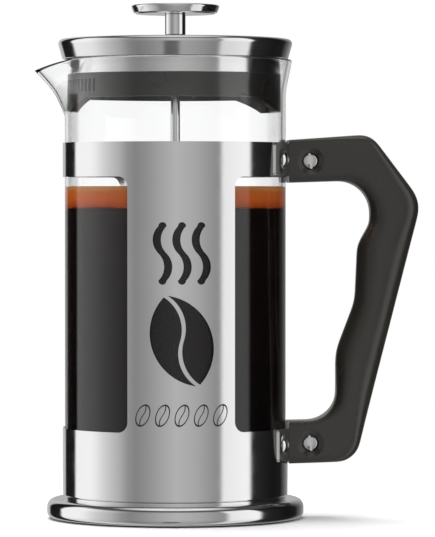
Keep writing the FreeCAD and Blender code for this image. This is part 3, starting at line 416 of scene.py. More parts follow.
def read(collection, name, width, kind=float):
    """One property of every vertex, face or corner, as rows of `width` numbers."""
    values = np.empty(len(collection) * width, kind)
    collection.foreach_get(name, values)
    return values.reshape(-1, width) if width > 1 else values


def weighted_normals(mesh):
    """Corner normals in which large faces outweigh small ones, up to each sharp edge."""
    trial = bpy.data.objects.new("trial", mesh)
    scene.collection.objects.link(trial)
    weighted = trial.modifiers.new("weighted", "WEIGHTED_NORMAL")
    weighted.keep_sharp = True
    weighted.weight = 100
    evaluated = trial.evaluated_get(bpy.context.evaluated_depsgraph_get())
    normals = read(evaluated.data.corner_normals, "vector", 3)
    bpy.data.objects.remove(trial)
    return normals


def on_round_walls(mesh, normals, tolerance=8):
    """Where a face looks within `tolerance` degrees of straight out or in, its corners point exactly so."""
    vertex = read(mesh.loops, "vertex_index", 1, int)
    out = read(mesh.vertices, "co", 3)[vertex] * (1, 1, 0)
    out /= np.maximum(np.linalg.norm(out, axis=1, keepdims=True), 1e-9)
    facing = np.repeat(read(mesh.polygons, "normal", 3), read(mesh.polygons, "loop_total", 1, int), axis=0)
    side = np.einsum("ij,ij->i", facing, out)
    on_wall = np.abs(side) > math.cos(math.radians(tolerance))
    normals[on_wall] = out[on_wall] * np.sign(side[on_wall])[:, None]
    return normals


def dressed(node, finish, crease=28.0, coaxial=True):
    """A merged copy, creased where two faces meet at more than `crease` degrees."""
    mesh = merged_copy(node)
    mesh.set_sharp_from_angle(angle=math.radians(crease))
    normals = weighted_normals(mesh)
    if coaxial:
        normals = on_round_walls(mesh, normals)
    mesh.normals_split_custom_set(normals.tolist())
    return adopt(node + "_skin", mesh, finish, frame["nodes"][node]["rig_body"], (node,))


dressed("base_floor", satin_steel)
for end in ("upper", "lower"):
    dressed(end + "_bracket", mirror_steel)
    dressed(end + "_rivets", mirror_steel, crease=50.0, coaxial=False)
dressed("strainer_collar", black_plastic)
for node in ("rod_guide", "guide_washer", "guide_nut", "cross_plate", "spiral_plate", "filter_hub"):
    dressed(node, satin_steel)
dressed("knob_base", mirror_steel)

# %% [markdown]
# ## Woven screen
# The filter's screen is fine wire, woven over and under. Two waves that cross at right angles make the
# wires: where either wave is at a crest there is wire, and where both are near nothing there is a hole,
# which is set back and coloured near black as painted shade, the darkness seen through the weave.

# %% Woven screen
WIRE_GAP = 0.0008
steel_mesh, tree, shader, place = new_finish("steel_mesh", Metallic=1.0)
x, y, z = add(tree, "SeparateXYZ", {"Vector": place}).outputs
crests = [calc(tree, "ABSOLUTE", calc(tree, "SINE", calc(tree, "MULTIPLY", axis, math.pi / WIRE_GAP)))
          for axis in (x, y)]
wires = calc(tree, "MAXIMUM", *crests)
tarnish = noise(tree, place, 120.0)
# Painted shade: the holes between the wires are coloured near black.
wires_and_painted_hole_shade = blend_colours(tree, spread(tree, wires, 0.0, 1.0, start=0.45, end=0.8), (0.03, 0.03, 0.03),
                      (0.66, 0.66, 0.67))
tree.links.new(wires_and_painted_hole_shade, shader.inputs["Base Color"])
tree.links.new(spread(tree, tarnish, 0.24, 0.42), shader.inputs["Roughness"])
raise_by(tree, shader, wires, 0.4, 0.0001)
dressed("mesh_screen", steel_mesh)
print("wires per centimetre:", round(0.01 / WIRE_GAP))

# %% [markdown]
# ## The etched beans
# The sleeve is nearly all mirror. Under its pierced motif a row of small beans is etched into the front: an
# outline is etched where a point's distance from the bean's middle, measured in the ellipse's own half
# widths, is close to one. Etching only dulls and darkens the steel, so it belongs in the finish rather than
# in the mesh.

# %% Etched row of beans
ROW_HEIGHT = 0.0470
BEAN_PITCH = 0.0082
BEAN_HALF_WIDE = 0.0029
BEAN_HALF_TALL = 0.0047
BEANS = 5
ROW_HALF = BEANS / 2 * BEAN_PITCH
LEAN = -0.25
CREASE_SWING = 0.0006
CREASE_HALF = 0.00022
CREASE_END = 0.9
OUTLINE_AT = 0.94
OUTLINE_HALF = 0.075
etched_steel = polished_steel("etched_steel")
tree = etched_steel.node_tree
shader = next(n for n in tree.nodes if n.type == "BSDF_PRINCIPLED")
place = next(n for n in tree.nodes if n.type == "TEX_COORD").outputs["Object"]
x, y, z = add(tree, "SeparateXYZ", {"Vector": place}).outputs
along = calc(tree, "ADD", calc(tree, "DIVIDE", x, BEAN_PITCH), 0.5)
across = calc(tree, "MULTIPLY", calc(tree, "SUBTRACT", calc(tree, "FRACT", along), 0.5), BEAN_PITCH)
rise = calc(tree, "SUBTRACT", z, ROW_HEIGHT)
lean = calc(tree, "ADD", across, calc(tree, "MULTIPLY", rise, LEAN))
wide = calc(tree, "POWER", calc(tree, "DIVIDE", lean, BEAN_HALF_WIDE), 2.0)
tall = calc(tree, "POWER", calc(tree, "DIVIDE", rise, BEAN_HALF_TALL), 2.0)
ellipse = calc(tree, "SQRT", calc(tree, "ADD", wide, tall))
from_outline = calc(tree, "ABSOLUTE", calc(tree, "SUBTRACT", ellipse, OUTLINE_AT))
outline_mark = calc(tree, "LESS_THAN", from_outline, OUTLINE_HALF)
wave = calc(tree, "SINE", calc(tree, "MULTIPLY", rise, math.pi / BEAN_HALF_TALL))
swing = calc(tree, "MULTIPLY", wave, CREASE_SWING)
from_crease = calc(tree, "ABSOLUTE", calc(tree, "SUBTRACT", lean, swing))
near_crease = calc(tree, "LESS_THAN", from_crease, CREASE_HALF)
crease_mark = calc(tree, "MULTIPLY", near_crease, calc(tree, "LESS_THAN", ellipse, CREASE_END))
mark = calc(tree, "MAXIMUM", outline_mark, crease_mark)
for inside in (calc(tree, "LESS_THAN", calc(tree, "ABSOLUTE", x), ROW_HALF), calc(tree, "LESS_THAN", y, 0.0)):
    mark = calc(tree, "MULTIPLY", mark, inside)
for socket, etched, kind in (("Base Color", (0.10, 0.10, 0.10, 1), "RGBA"), ("Roughness", 0.5, "FLOAT")):
    plain = shader.inputs[socket].links[0].from_socket
    mixed = add(tree, "Mix", {"Factor": mark, "A": plain, "B": etched}, data_type=kind).outputs["Result"]
    tree.links.new(mixed, shader.inputs[socket])
print("etched beans:", BEANS)

# %% [markdown]
# ## The sleeve
# The sleeve is thin tube with two windows and a pierced motif, a coffee bean under three wisps of steam. All
# of them are cut in the CAD solid itself. A smooth-shaded copy keeps every cut edge crisp and wears the
# etched finish.

# %% Sleeve
dressed("frame_sleeve", etched_steel, crease=20.0)

# %% [markdown]
# ## The handle
# One solid moulding: straight arms, a slanted shoulder, and a grip with hollows for the fingers. Seen from
# the side it lies between an outer and an inner line. A section is carried between the two: a superellipse,
# whose power says how boxy it is. It is boxy in the arms, which lie against the brackets, and rounder in the
# grip, which lies in the hand. Stations pair places on the two lines so that the sections stay square to
# the handle as it turns.

# %% Handle
HALF_WIDE = 9.0
screw_out = sum(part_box("upper_screw")[k].x for k in (0, 1)) / 2 / MM
screw_high = sum(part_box("upper_screw")[k].z for k in (0, 1)) / 2 / MM
screw_low = sum(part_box("lower_screw")[k].z for k in (0, 1)) / 2 / MM
HANDLE_GAP = 0.75
ROOT = sleeve_radius + HANDLE_GAP
OUTER = [(ROOT, screw_high + 9.2), (84.8, screw_high + 11.7, 9), (107.3, screw_high - 17.5, 13),
         (78.3, screw_low - 8.1, 10.5), (ROOT, screw_low - 8.9)]
INNER = [(ROOT, screw_high - 9.4), (84.8, screw_high - 8.3, 13.5), (84.6, screw_high - 27.0, 8),
         (79.2, screw_high - 36.5, 14), (78.1, screw_low + 61.5, 24), (69.7, screw_low + 39.5, 26),
         (69.9, screw_low + 10.0, 12.5), (ROOT, screw_low + 9.6)]
# Each station: how far along the outer line, how far along the inner line, and the section's power.
STATIONS = [(0.0, 0.0, 9.0), (0.075, 0.115, 8.0), (0.15, 0.19, 5.0), (0.27, 0.265, 3.2), (0.40, 0.36, 2.35),
            (0.46, 0.44, 2.15), (0.58, 0.56, 2.1), (0.70, 0.68, 2.15), (0.79, 0.80, 2.6), (0.865, 0.865, 4.0),
            (0.93, 0.93, 8.0), (1.0, 1.0, 9.0)]
LENGTHWISE = 260
ROUND = 56
CROWDING = 0.16
END_RINGS = (0.0, 0.35, 0.7, 0.94)
HOLLOW_FADES = 5


def along_line(corners, share):
    """Points at the given shares of a bent line's length."""
    line = rounded(corners, 14)
    length = np.concatenate([[0], np.cumsum(np.hypot(*np.diff(line, axis=0).T))])
    return np.stack([np.interp(share * length[-1], length, line[:, k]) for k in (0, 1)], -1)


def smooth_through(keys, values, at):
    """A smooth curve through key values: between keys it eases by the cubic whose slopes are the
    neighbours' mean slopes."""
    slope = np.gradient(values, keys)
    i = np.clip(np.searchsorted(keys, at, side="right") - 1, 0, len(keys) - 2)
    gap = keys[i + 1] - keys[i]
    t = (at - keys[i]) / gap
    return ((2 * t**3 - 3 * t**2 + 1) * values[i] + (t**3 - 2 * t**2 + t) * gap * slope[i]
            + (3 * t**2 - 2 * t**3) * values[i + 1] + (t**3 - t**2) * gap * slope[i + 1])


def softened(line, passes=6):
    """The line with each inner point moved halfway to its neighbours' middle, pass after pass."""
    for _ in range(passes):
        line = np.concatenate([line[:1], (line[:-2] + 2 * line[1:-1] + line[2:]) / 4, line[-1:]])
    return line


def handle_grid(stations, sides):
    """Section at share s: centre between the lines, half width half their distance, half depth HALF_WIDE.
    Round it, the point at angle w lies at |cos w|^(2/p) across and |sin w|^(2/p) deep, signs kept. The
    angles crowd towards the middles of the four sides, where a boxy section would have the fewest."""
    keys = np.linspace(0, 1, len(STATIONS))
    table = np.array(STATIONS)
    s = np.linspace(0, 1, stations)
    outer_share, inner_share, power = (smooth_through(keys, table[:, k], s) for k in (0, 1, 2))
    outer, inner = softened(along_line(OUTER, outer_share)), softened(along_line(INNER, inner_share))
    w = (np.arange(sides) + 0.5) * 2 * np.pi / sides
    w = w - CROWDING * np.sin(4 * w)
    across = np.sign(np.cos(w)) * np.abs(np.cos(w)) ** (2 / power[:, None])
    deep = np.sign(np.sin(w)) * np.abs(np.sin(w)) ** (2 / power[:, None]) * HALF_WIDE
    middle, half = (outer + inner) / 2, (outer - inner) / 2
    flat = middle[:, None] + across[..., None] * half[:, None]
    return np.stack([flat[..., 0], deep, flat[..., 1]], -1)


grip = handle_grid(LENGTHWISE, ROUND)
ends = []
for station in (0, -1):
    rim = grip[station]
    middle = rim.mean(0)
    ends.append(np.stack([middle + (rim - middle) * share for share in END_RINGS]))
grip = np.concatenate([ends[0], grip, ends[1][::-1]])
near_root = np.clip(1 - (grip[..., 0] - ROOT) / HOLLOW_FADES, 0, 1)
grip[..., 0] -= near_root * (ROOT - np.sqrt(ROOT ** 2 - grip[..., 1] ** 2))


def drilled(piece, cutters):
    """The piece with the cutters' shapes taken out, as a plain mesh; the cutters are thrown away."""
    for cutter in cutters:
        cut = piece.modifiers.new("recess", "BOOLEAN")
        cut.operation, cut.solver, cut.object = "DIFFERENCE", "EXACT", cutter
    mesh = bpy.data.meshes.new_from_object(piece.evaluated_get(bpy.context.evaluated_depsgraph_get()))
    piece.modifiers.clear()
    piece.data = mesh
    for cutter in cutters:
        bpy.data.objects.remove(cutter)
    mesh.set_sharp_from_angle(angle=math.radians(35))
    return piece


def across_handle(points, height, turn=0.0):
    """Lay a shape built about the upright axis along the screw's axis instead: its top looks to -Y."""
    x, y, z = points[..., 0], points[..., 1], points[..., 2]
    c, s = math.cos(turn), math.sin(turn)
    return np.stack([screw_out + x * c - y * s, -z, height + x * s + y * c], -1)


RECESS_WIDE = 5.85
RECESS_NARROW = 3.75
RECESS_DEEP = 1.6
CUT_TO = HALF_WIDE + 2
SEAT = 5.2
cutters = []
for height in (screw_high, screw_low):
    for side in (1, -1):
        corners = [(0, SEAT), (RECESS_NARROW, SEAT), (RECESS_NARROW, HALF_WIDE - RECESS_DEEP),
                   (RECESS_WIDE, HALF_WIDE), (RECESS_WIDE, CUT_TO), (0, CUT_TO)]
        points = turned(rounded(corners), 64)
        points[..., 2] *= side
        faces = grid_faces(*points.shape[:2], False, True)
        cutters.append(surface("cutter", across_handle(points, height), faces, black_plastic, "frame"))
handle = surface("handle_moulded", grip, grid_faces(*grip.shape[:2], False, True), black_plastic, "frame",
                 ("handle",))
drilled(handle, cutters)
print("handle:", len(handle.data.polygons), "faces after drilling")

# %% [markdown]
# ## Screws
# Slotted screws and the barrel nuts that take them hold the handle. A slotted head is a grid of chords: x
# runs across the slot, and each chord runs from rim to rim along it. Its height is a low dome, and inside
# the slot it drops to the slot's floor.

# %% Screws and barrel nuts
HEAD = 3.35
HEAD_HIGH = 2.0
DOME = 0.75
SLOT_HALF = 0.45
SLOT_DEEP = 1.1
SLOT_TURN = math.radians(8)
SLOT_EDGE = 0.03
SLOT_CLEAR = 0.08
RIM_FROM = 0.85
RIM_DROP = 0.35
# Radius and length.
SCREW_SHANK = (1.5, 7.2)
NUT_BARREL = (2.3, 9.6)


def slotted_head(chords=28, steps=20):
    """Chord x spans y from -w to w with w = sqrt(R^2 - x^2). With r the distance from the middle over R, the
    top is HEAD_HIGH + DOME (1 - r^2), less up to RIM_DROP past RIM_FROM; where |x| <= SLOT_HALF it is the
    slot's floor. The loop closes along the flat seat."""
    x = -HEAD * np.cos(np.pi * np.arange(chords + 1) / chords)
    edge = np.array([-SLOT_HALF - SLOT_EDGE, -SLOT_HALF, SLOT_HALF, SLOT_HALF + SLOT_EDGE])
    x = np.sort(np.concatenate([x[np.abs(x) > SLOT_HALF + SLOT_CLEAR], edge]))
    w = np.sqrt(np.clip(HEAD ** 2 - x ** 2, 0, None))[:, None]
    t = np.sin(np.linspace(-np.pi / 2, np.pi / 2, steps))[None, :]
    r = np.sqrt(x[:, None] ** 2 + (w * t) ** 2) / HEAD
    top = HEAD_HIGH + DOME * (1 - r ** 2) - RIM_DROP * np.clip(r - RIM_FROM, 0, None) / (1 - RIM_FROM)
    top = np.where(np.abs(x[:, None]) <= SLOT_HALF, HEAD_HIGH + DOME - SLOT_DEEP, top)
    y = np.concatenate([w * t, w * t[:, ::-1]], 1)
    z = np.concatenate([top, 0 * top], 1)
    return np.stack([x[:, None] + 0 * y, y, z + SEAT], -1)


def outwards(points, faces):
    """Faces turned so that their shell's volume is positive."""
    return faces if volume(points.reshape(-1, 3), faces) > 0 else faces[:, ::-1]


def fastener(node, height, side, shank_radius, shank_length):
    """A slotted head and its shank, in one mesh, on one side of the handle."""
    head = slotted_head()
    shank = turned(rounded([(0, SEAT - shank_length), (shank_radius, SEAT - shank_length, 0.2),
                            (shank_radius, SEAT + 0.5, 0.1), (0, SEAT + 0.5)]), 32)
    shells, count = [], 0
    for points, faces in ((head, grid_faces(*head.shape[:2], False, True)),
                          (shank, grid_faces(*shank.shape[:2], False, True))):
        points = across_handle(points, height, SLOT_TURN)
        points[..., 1] *= side
        shells.append((points.reshape(-1, 3), outwards(points, faces) + count))
        count += points[..., 0].size
    piece = surface(node + "_slotted", np.concatenate([p for p, _ in shells]),
                    np.concatenate([f for _, f in shells]), mirror_steel, "frame", (node,))
    piece.data.set_sharp_from_angle(angle=math.radians(40))
    return piece


for end, height in (("upper", screw_high), ("lower", screw_low)):
    fastener(end + "_screw", height, 1, *SCREW_SHANK)
    fastener(end + "_barrel_nut", height, -1, *NUT_BARREL)

# %% [markdown]
# ## The lid
# Two pressings back to back: a flared cap that sits over the rim of the glass, and a pan whose wall goes
# down inside it. The bead's corners run outwards while the cap's outline runs inwards, so the bead folds
# under the flat top and doesn't show.

# %% Lid cap and skirt
SHEET_LID = 0.8
LID_HOLE = 4.08
CAP_FLARE = 2.4
CAP_BEND = 1.9
SKIRT_BEND = 1.6
BEAD_RADIUS = 44
BEAD_DEEP = 0.3
cap_radius, cap_foot, cap_top = extent("lid_cap")
foot_radius = cap_radius - CAP_FLARE
lathe("lid_cap", [
    (LID_HOLE, cap_top - SHEET_LID, 0.1),
    (cap_radius - SHEET_LID, cap_top - SHEET_LID, CAP_BEND - SHEET_LID),
    (foot_radius - SHEET_LID, cap_foot, 0.15),
    (foot_radius, cap_foot, 0.25),
    (cap_radius, cap_top, CAP_BEND),
    *grooves((BEAD_RADIUS, ), cap_top, -BEAD_DEEP, width=-1.6, lip=-0.8),
    (LID_HOLE, cap_top, 0.2)], mirror_steel, columns=288)
skirt_radius, skirt_foot, skirt_top = extent("lid_skirt")
lathe("lid_skirt", [
    (LID_HOLE, skirt_top - SHEET_LID, 0.1),
    (skirt_radius - SHEET_LID, skirt_top - SHEET_LID, SKIRT_BEND - SHEET_LID),
    (skirt_radius - SHEET_LID, skirt_foot, 0.15),
    (skirt_radius, skirt_foot, 0.2),
    (skirt_radius, skirt_top, SKIRT_BEND),
    (LID_HOLE, skirt_top, 0.1)], mirror_steel, columns=288)

# %% [markdown]
# ## Knob, stem and rod
# The knob is a steel cap rolled over a disc, on a short stem; the rod runs from it down to the filter. The
# disc was copied with the other solids, so only the cap, the stem and the rod are turned here.

# %% Knob cap, stem and rod
knob_radius, knob_foot, knob_top = extent("knob_cap")
SHEET_KNOB = 1.0
KNOB_TAPER = 1.3
knob_inside = knob_radius - KNOB_TAPER - SHEET_KNOB
lathe("knob_cap", [
    (0, knob_top - SHEET_KNOB),
    (knob_inside, knob_top - SHEET_KNOB, 0.2),
    (knob_inside, knob_foot, 0.15),
    (knob_radius - KNOB_TAPER, knob_foot, 0.3),
    (knob_radius, knob_top, 0.8),
    (0, knob_top)], mirror_steel, columns=180)
rod_radius, rod_foot, rod_top = extent("plunger_rod")
stem_radius, stem_foot, stem_top = extent("knob_stem")
lathe("knob_stem", [
    (rod_radius, stem_foot, 0.1), (stem_radius, stem_foot, 0.5),
    (stem_radius, stem_top, 0.3), (rod_radius, stem_top, 0.1)], mirror_steel, columns=96)
lathe("plunger_rod", [
    (0, rod_foot), (rod_radius, rod_foot, 0.4), (rod_radius, rod_top, 0.1), (0, rod_top)],
    mirror_steel, columns=64)

# %% [markdown]
# ## The filter's edge spring
# A long, closely coiled spring lies round the filter and presses the screen against the glass. Its line is
# a helix wrapped round a ring, and a small round section is carried along it.

# %% Edge spring
WIRE = 0.32
COILS = 168


def ring_helix(ring, coil, coils, steps, wire, sides, height):
    """Wire wound round a ring. Along it, u goes round the ring once while v = coils * u goes round the coil:
    centre = (ring + coil cos v) out + coil sin v up. The section is a circle across that line."""
    u = np.linspace(0, 2 * np.pi, coils * steps, endpoint=False)[:, None]
    v = coils * u
    w = np.linspace(0, 2 * np.pi, sides, endpoint=False)[None, :]
    out = np.concatenate([np.cos(u), np.sin(u), 0 * u], 1)
    up = np.array([[0.0, 0.0, 1.0]])
    spoke = np.cos(v) * out + np.sin(v) * up
    middle = ring * out + coil * spoke + height * up
    along = np.roll(middle, -1, 0) - np.roll(middle, 1, 0)
    across = np.cross(along, spoke)
    across /= np.linalg.norm(across, axis=1, keepdims=True)
    section = np.cos(w)[..., None] * spoke[:, None] + np.sin(w)[..., None] * across[:, None]
    return middle[:, None] + wire * section


spring_outside, spring_foot, spring_top = extent("edge_spring")
spring_half = (spring_top - spring_foot) / 2
points = ring_helix(ring=spring_outside - spring_half, coil=spring_half - WIRE, coils=COILS, steps=10,
                    wire=WIRE, sides=6, height=spring_foot + spring_half)
surface("edge_spring_coil", points, grid_faces(*points.shape[:2], True, True), satin_steel, "plunger",
        ("edge_spring",))

# %% [markdown]
# ## The beaker
# A blown glass cylinder, flared at the rim and pulled out on one side into a spout. Its wall is one closed
# outline, outside up and inside down, turned about the axis. Near the spout each point is moved away from
# the axis by a factor that grows with height: seen from above, two straight flanks leave the rim and meet at
# the tip, as glass does when a rod draws it out.

# %% Glass beaker
GLASS_WALL = 1.8
GLASS_BASE = 2.2
RIM_FLARE = 2.8
RIM_HEIGHT = 13.9
SPOUT_TIP = 61.4
SPOUT_DROP = 24.4
SPOUT_SLOPE = 4.6
SPOUT_POINT = 0.12
glass_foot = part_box("glass_beaker")[0].z / MM
rim_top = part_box("glass_beaker")[1].z / MM
rim_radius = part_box("glass_beaker")[1].y / MM
glass_radius = rim_radius - RIM_FLARE
glass_inside = glass_radius - GLASS_WALL
glass_floor = glass_foot + GLASS_BASE


def finer(outline, longest):
    """The same outline with extra points, so that no run is longer than `longest`."""
    pieces = []
    for start, end in zip(outline[:-1], outline[1:]):
        count = max(1, math.ceil(np.hypot(*(end - start)) / longest))
        pieces.append(start + (end - start) * np.arange(count)[:, None] / count)
    return np.concatenate([*pieces, outline[-1:]])


def draw_spout(points):
    """Pull the spout: k rises from 0 at its root to 1 at the rim, and the spout's half angle h grows with it
    so that the tip moves out evenly. A point at angle a from the spout's middle moves out by 1 / cos(h - a)
    inside that half angle, and sinks by SPOUT_SLOPE times k times its share of the reach. Near the middle
    a stays above SPOUT_POINT times h, which blunts the tip."""
    x, y, z = points[..., 0], points[..., 1], points[..., 2]
    k = np.clip((z - (rim_top - SPOUT_DROP)) / SPOUT_DROP, 0, 1)
    reach = SPOUT_TIP / rim_radius - 1
    half = np.arccos(1 / (1 + reach * k)) / (1 - SPOUT_POINT)
    away = np.abs(np.arctan2(y, -x))
    blunt = np.sqrt(away ** 2 + (SPOUT_POINT * half) ** 2)
    factor = 1 / np.cos(np.clip(half - blunt, 0, None))
    sink = SPOUT_SLOPE * k * (factor - 1) / reach
    return np.stack([x * factor, y * factor, z - sink], -1)


LIP = 0.88
outline = rounded([
    (0, glass_foot + 0.6),
    (22, glass_foot + 0.6, 20),
    (30, glass_foot, 14),
    (glass_radius, glass_foot, 8.0),
    (glass_radius, rim_top - RIM_HEIGHT, 30),
    (rim_radius, rim_top, LIP),
    (rim_radius - GLASS_WALL - 0.1, rim_top, LIP),
    (glass_inside, rim_top - RIM_HEIGHT, 30),
    (glass_inside, glass_floor, 6.2),
    (0, glass_floor)], steps=8)
outline = finer(outline, 1.6)
beaker_points = draw_spout(turned(outline, 288))
surface("glass_beaker_blown", beaker_points, grid_faces(*beaker_points.shape[:2], False, True), clear_glass,
        "beaker", ("glass_beaker",))
print("spout tip at x =", round(beaker_points[..., 0].min(), 1), "mm")

# %% [markdown]
# ## Coffee and its foam
# The coffee is nearly black, with painted light that makes it a little lighter towards its top. The foam goes
# from pale orange at the top to dark brown at its foot, partly its own layers and partly painted light, with
# a painted highlight in its palest band at the very top. Slow noise makes the edge a little uneven, and fine
# cells raise bubbles.

# %% Coffee and foam finishes
COFFEE_TOP = 134.4
FOAM_TOP = 143.2
coffee_finish, tree, shader, place = new_finish("coffee", Roughness=0.12, IOR=1.34)
height = add(tree, "SeparateXYZ", {"Vector": place}).outputs["Z"]
murk = noise(tree, place, 30.0, detail=4.0)
# Painted light: the coffee is a little lighter towards its top, where more light reaches it.
depth = spread(tree, height, 0.0, 0.8, start=0.0, end=COFFEE_TOP * MM)
shade = calc(tree, "ADD", depth, spread(tree, murk, -0.1, 0.1))
browns = blend_colours(tree, shade, (0.004, 0.002, 0.0015), (0.012, 0.005, 0.003))
tree.links.new(browns, shader.inputs["Base Color"])

foam_finish, tree, shader, place = new_finish("coffee_foam", Roughness=0.5, IOR=1.2)
height = add(tree, "SeparateXYZ", {"Vector": place}).outputs["Z"]
ragged = noise(tree, place, 160.0, detail=5.0)
bubbles = add(tree, "TexVoronoi", {"Vector": place, "Scale": 900.0}).outputs["Distance"]
rise = spread(tree, height, 0.0, 1.0, start=COFFEE_TOP * MM, end=FOAM_TOP * MM)
level = calc(tree, "ADD", rise, spread(tree, ragged, -0.05, 0.05))
ramp = add(tree, "ValToRGB", {"Fac": level})
# Partly the foam's own layers and partly painted light: dark brown at its foot where it meets the coffee, and
# a pale painted highlight at the very top and where it climbs the wall.
FOAM_COLOURS_AND_PAINTED_LIGHT = [(0.0, (0.16, 0.030, 0.005)), (0.08, (0.62, 0.105, 0.012)), (0.4, (0.93, 0.19, 0.028)),
                (0.8, (0.96, 0.26, 0.045)), (1.0, (0.98, 0.46, 0.15))]
stops = ramp.color_ramp.elements
while len(stops) < len(FOAM_COLOURS_AND_PAINTED_LIGHT):
    stops.new(0.5)
for stop, (position, colour) in zip(stops, FOAM_COLOURS_AND_PAINTED_LIGHT):
    stop.position = position
    stop.color = (*colour, 1)
tree.links.new(ramp.outputs["Color"], shader.inputs["Base Color"])
raise_by(tree, shader, bubbles, 0.3, 0.0003)
print("finishes:", coffee_finish.name, foam_finish.name)

# %% [markdown]
# ## Pouring the coffee
# Two more turned pieces fill the beaker to about seven tenths. Both reach a hair's breadth into the wall,
# because a film of air between coffee and glass would shine like a mirror. The foam climbs a little at the
# wall. Both ride on the beaker, and neither stands for a CAD solid.

# %% Coffee and foam
HAIR = 0.05
CLIMB = 0.9
CLIMB_WIDE = 1.6
fill_radius = glass_inside + HAIR
lathe("coffee", [
    (0, glass_floor - HAIR), (fill_radius, glass_floor - HAIR, 6.2), (fill_radius, COFFEE_TOP, 0.1),
    (0, COFFEE_TOP)], coffee_finish, body="beaker")
lathe("foam", [
    (0, COFFEE_TOP), (fill_radius, COFFEE_TOP, 0.1), (fill_radius, FOAM_TOP + CLIMB, 0.25),
    (fill_radius - CLIMB_WIDE, FOAM_TOP, 2.4), (0, FOAM_TOP)], foam_finish, body="beaker")

# %% [markdown]
# ## The room
# Polished steel has no look of its own: it shows the room. The room here is a ring of tall light cards and
# black flags round the press, as a product studio sets them. It is painted by direction in the world
# shader: `CARDS` gives the brightness at each azimuth, in degrees, with 0 behind the camera. Upwards, past
# the tops of the cards, comes a dark band and then a bright ceiling. Downwards the cards fade a little, a
# tripod stands dark under the camera, and the floor adds grey. Height is the sine of the angle above level.
#
# The camera itself sees plain white. Light that has passed through glass meets white behind the press too,
# a touch brighter.

# %% Studio
CAMERA_TURN = -3.3
CARDS = [
    (-180, 0.45), (-165, 0.55), (-155, 0.50), (-151, 0.010), (-126, 0.010), (-122, 0.98), (-96, 0.98),
    (-89, 0.90), (-79, 0.72), (-69, 0.58), (-59, 0.46), (-50, 0.31), (-41, 0.25), (-28, 0.31), (-16, 0.39),
    (1, 0.49), (21, 0.42), (43, 0.28), (46, 0.33), (50, 0.88), (81, 1.0), (85, 0.02), (119, 0.008),
    (137, 0.012), (150, 0.13), (172, 0.40), (180, 0.45)]
DARK_BAND = 0.08
CEILING = 0.9
LOW_DARK = 0.03
TRIPOD = 0.02
FLOOR_GREY = 0.5
BEHIND_GLASS = 1.06
# Where each layer begins and where it is full. Heights run from -1 to 1; the tripod's left and right are
# shares of a turn, and BEHIND is how far a direction points away from the camera.
CARD_TOPS = (0.6, 0.74)
CEILING_EDGE = (0.86, 0.98)
CARDS_FADE = (-0.1, -0.55)
TRIPOD_LEFT, TRIPOD_RIGHT = (0.461, 0.472), (0.517, 0.506)
TRIPOD_FOOT, TRIPOD_TOP = (-0.8, -0.7), (-0.32, -0.42)
FLOOR_EDGE = (-0.66, -0.9)
BEHIND = (0.85, 0.95)
FADE_SHARE = 0.26
TRIPOD_SHARE = 0.7
FLOOR_SHARE = 0.3
world = bpy.data.worlds.new("studio")
scene.world = world
world.use_nodes = True
tree = world.node_tree
tree.nodes.clear()
direction = add(tree, "TexCoord").outputs["Generated"]
x, y, z = add(tree, "SeparateXYZ", {"Vector": direction}).outputs
turn = calc(tree, "ARCTAN2", x, calc(tree, "MULTIPLY", y, -1.0))
share = calc(tree, "ADD", calc(tree, "DIVIDE", turn, 2 * math.pi), 0.5 - CAMERA_TURN / 360)
ring = add(tree, "ValToRGB", {"Fac": share})
stops = ring.color_ramp.elements
while len(stops) < len(CARDS):
    stops.new(0.5)
for stop, (azimuth, brightness) in zip(stops, CARDS):
    stop.position = (azimuth + 180) / 360
    stop.color = (brightness, brightness, brightness, 1)


def layer(below, factor, grey):
    """Lay an even grey over what is painted so far, by a factor from 0 to 1."""
    inputs = {"Factor": factor, "A": below, "B": (grey, grey, grey, 1)}
    return add(tree, "Mix", inputs, data_type="RGBA").outputs["Result"]


def ramp_up(value, edge, share=1.0):
    """From 0 to `share` as the value goes from the edge's first number to its second."""
    return spread(tree, value, 0.0, share, start=edge[0], end=edge[1])


sides = calc(tree, "MULTIPLY", ramp_up(share, TRIPOD_LEFT), ramp_up(share, TRIPOD_RIGHT))
heights = calc(tree, "MULTIPLY", ramp_up(z, TRIPOD_FOOT), ramp_up(z, TRIPOD_TOP))
tripod = calc(tree, "MULTIPLY", calc(tree, "MULTIPLY", sides, heights), TRIPOD_SHARE)
room = layer(ring.outputs["Color"], ramp_up(z, CARD_TOPS), DARK_BAND)
room = layer(room, ramp_up(z, CEILING_EDGE), CEILING)
room = layer(room, ramp_up(z, CARDS_FADE, FADE_SHARE), LOW_DARK)
room = layer(room, tripod, TRIPOD)
room = layer(room, ramp_up(z, FLOOR_EDGE, FLOOR_SHARE), FLOOR_GREY)
seen = add(tree, "LightPath").outputs
through = calc(tree, "MULTIPLY", seen["Is Transmission Ray"], ramp_up(y, BEHIND))
room = layer(room, through, BEHIND_GLASS)
room = layer(room, seen["Is Camera Ray"], 1)
background = add(tree, "Background", {"Color": room})
add(tree, "OutputWorld", {"Surface": background.outputs["Background"]})
scene.view_settings.view_transform = "Standard"
print("light cards:", len(CARDS))

# %% [markdown]
# ## Soft light
# A wide soft light hangs over the press. It lights the floor, the foam and the handle and gives the soft
# shadow. It is kept out of reflections, so that polished steel shows the painted cards and not this light.

# %% Soft light
SOFT_SIZE = 1.4
SOFT_POWER = 34.0
SOFT_PLACE = (-0.1, 0.22, 1.3)
sail = bpy.data.objects.new("soft_light", bpy.data.lights.new("soft_light", "AREA"))
scene.collection.objects.link(sail)
sail.data.shape = "SQUARE"
sail.data.size = SOFT_SIZE
sail.data.energy = SOFT_POWER
sail.location = SOFT_PLACE
sail.rotation_mode = "QUATERNION"
sail.rotation_quaternion = (-sail.location).to_track_quat("-Z", "Y")
sail.visible_glossy = False
sail.visible_camera = False
print("soft light:", SOFT_SIZE, "metres wide,", SOFT_POWER, "watts")

# %% [markdown]
# ## Floor
# A pale disc under the press takes its contact shadow and fades out before it would draw a horizon. It is
# kept out of reflections too.

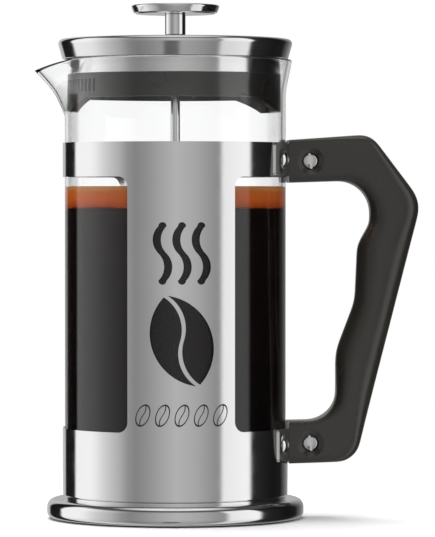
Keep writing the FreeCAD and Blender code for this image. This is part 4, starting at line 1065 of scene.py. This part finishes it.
# %% Floor
FLOOR_CLEAR = 0.12
FLOOR_GONE = 0.34
FLOOR_HOLE = 0.001
FLOOR_MARGIN = 0.02
FLOOR_RINGS = 24
FLOOR_SPOKES = 96
floor_finish, tree, shader, place = new_finish("pale_floor", Roughness=0.6)
far = add(tree, "VectorMath", {0: place}, operation="LENGTH").outputs["Value"]
paper = noise(tree, place, 300.0, detail=3.0)
pale = blend_colours(tree, paper, (0.93, 0.93, 0.93), (0.97, 0.97, 0.97))
tree.links.new(pale, shader.inputs["Base Color"])
tree.links.new(spread(tree, far, 1.0, 0.0, start=FLOOR_CLEAR, end=FLOOR_GONE), shader.inputs["Alpha"])
around = np.linspace(0, 2 * np.pi, FLOOR_SPOKES, endpoint=False)
radii = np.linspace(FLOOR_HOLE, FLOOR_GONE + FLOOR_MARGIN, FLOOR_RINGS)
across, deep = radii[:, None] * np.cos(around), radii[:, None] * np.sin(around)
points = np.stack([across, deep, 0 * across], -1)
floor_mesh = bpy.data.meshes.new("floor")
floor_mesh.from_pydata(points.reshape(-1, 3).tolist(), [], grid_faces(*across.shape, False, True).tolist())
floor = bpy.data.objects.new("floor", floor_mesh)
scene.collection.objects.link(floor)
floor_mesh.materials.append(floor_finish)
floor.visible_glossy = False
print("floor: clear to", FLOOR_CLEAR, "metres, gone at", FLOOR_GONE)

# %% [markdown]
# ## Camera
# A long lens from 1.7 metres keeps the uprights parallel. It stands a little to the left of the middle, a
# little under two thirds of the way up the press, and looks almost level.

# %% Camera
DISTANCE = 1.7
CAMERA_HEIGHT = 0.1377
AIM_RIGHT = 0.0183
AIM_HEIGHT = 0.1083
LENS = 262.6
turn = math.radians(CAMERA_TURN)
camera = bpy.data.objects.new("camera", bpy.data.cameras.new("camera"))
scene.collection.objects.link(camera)
scene.camera = camera
camera.data.lens = LENS
camera.data.sensor_width = 36
camera.data.clip_end = 20
camera.location = (DISTANCE * math.sin(turn), -DISTANCE * math.cos(turn), CAMERA_HEIGHT)
aim = np.array([AIM_RIGHT * math.cos(turn), AIM_RIGHT * math.sin(turn), AIM_HEIGHT])
camera.rotation_mode = "QUATERNION"
direction = type(camera.location)(aim) - camera.location
camera.rotation_quaternion = direction.to_track_quat("-Z", "Y")
print("camera stands at", [round(v, 3) for v in camera.location])
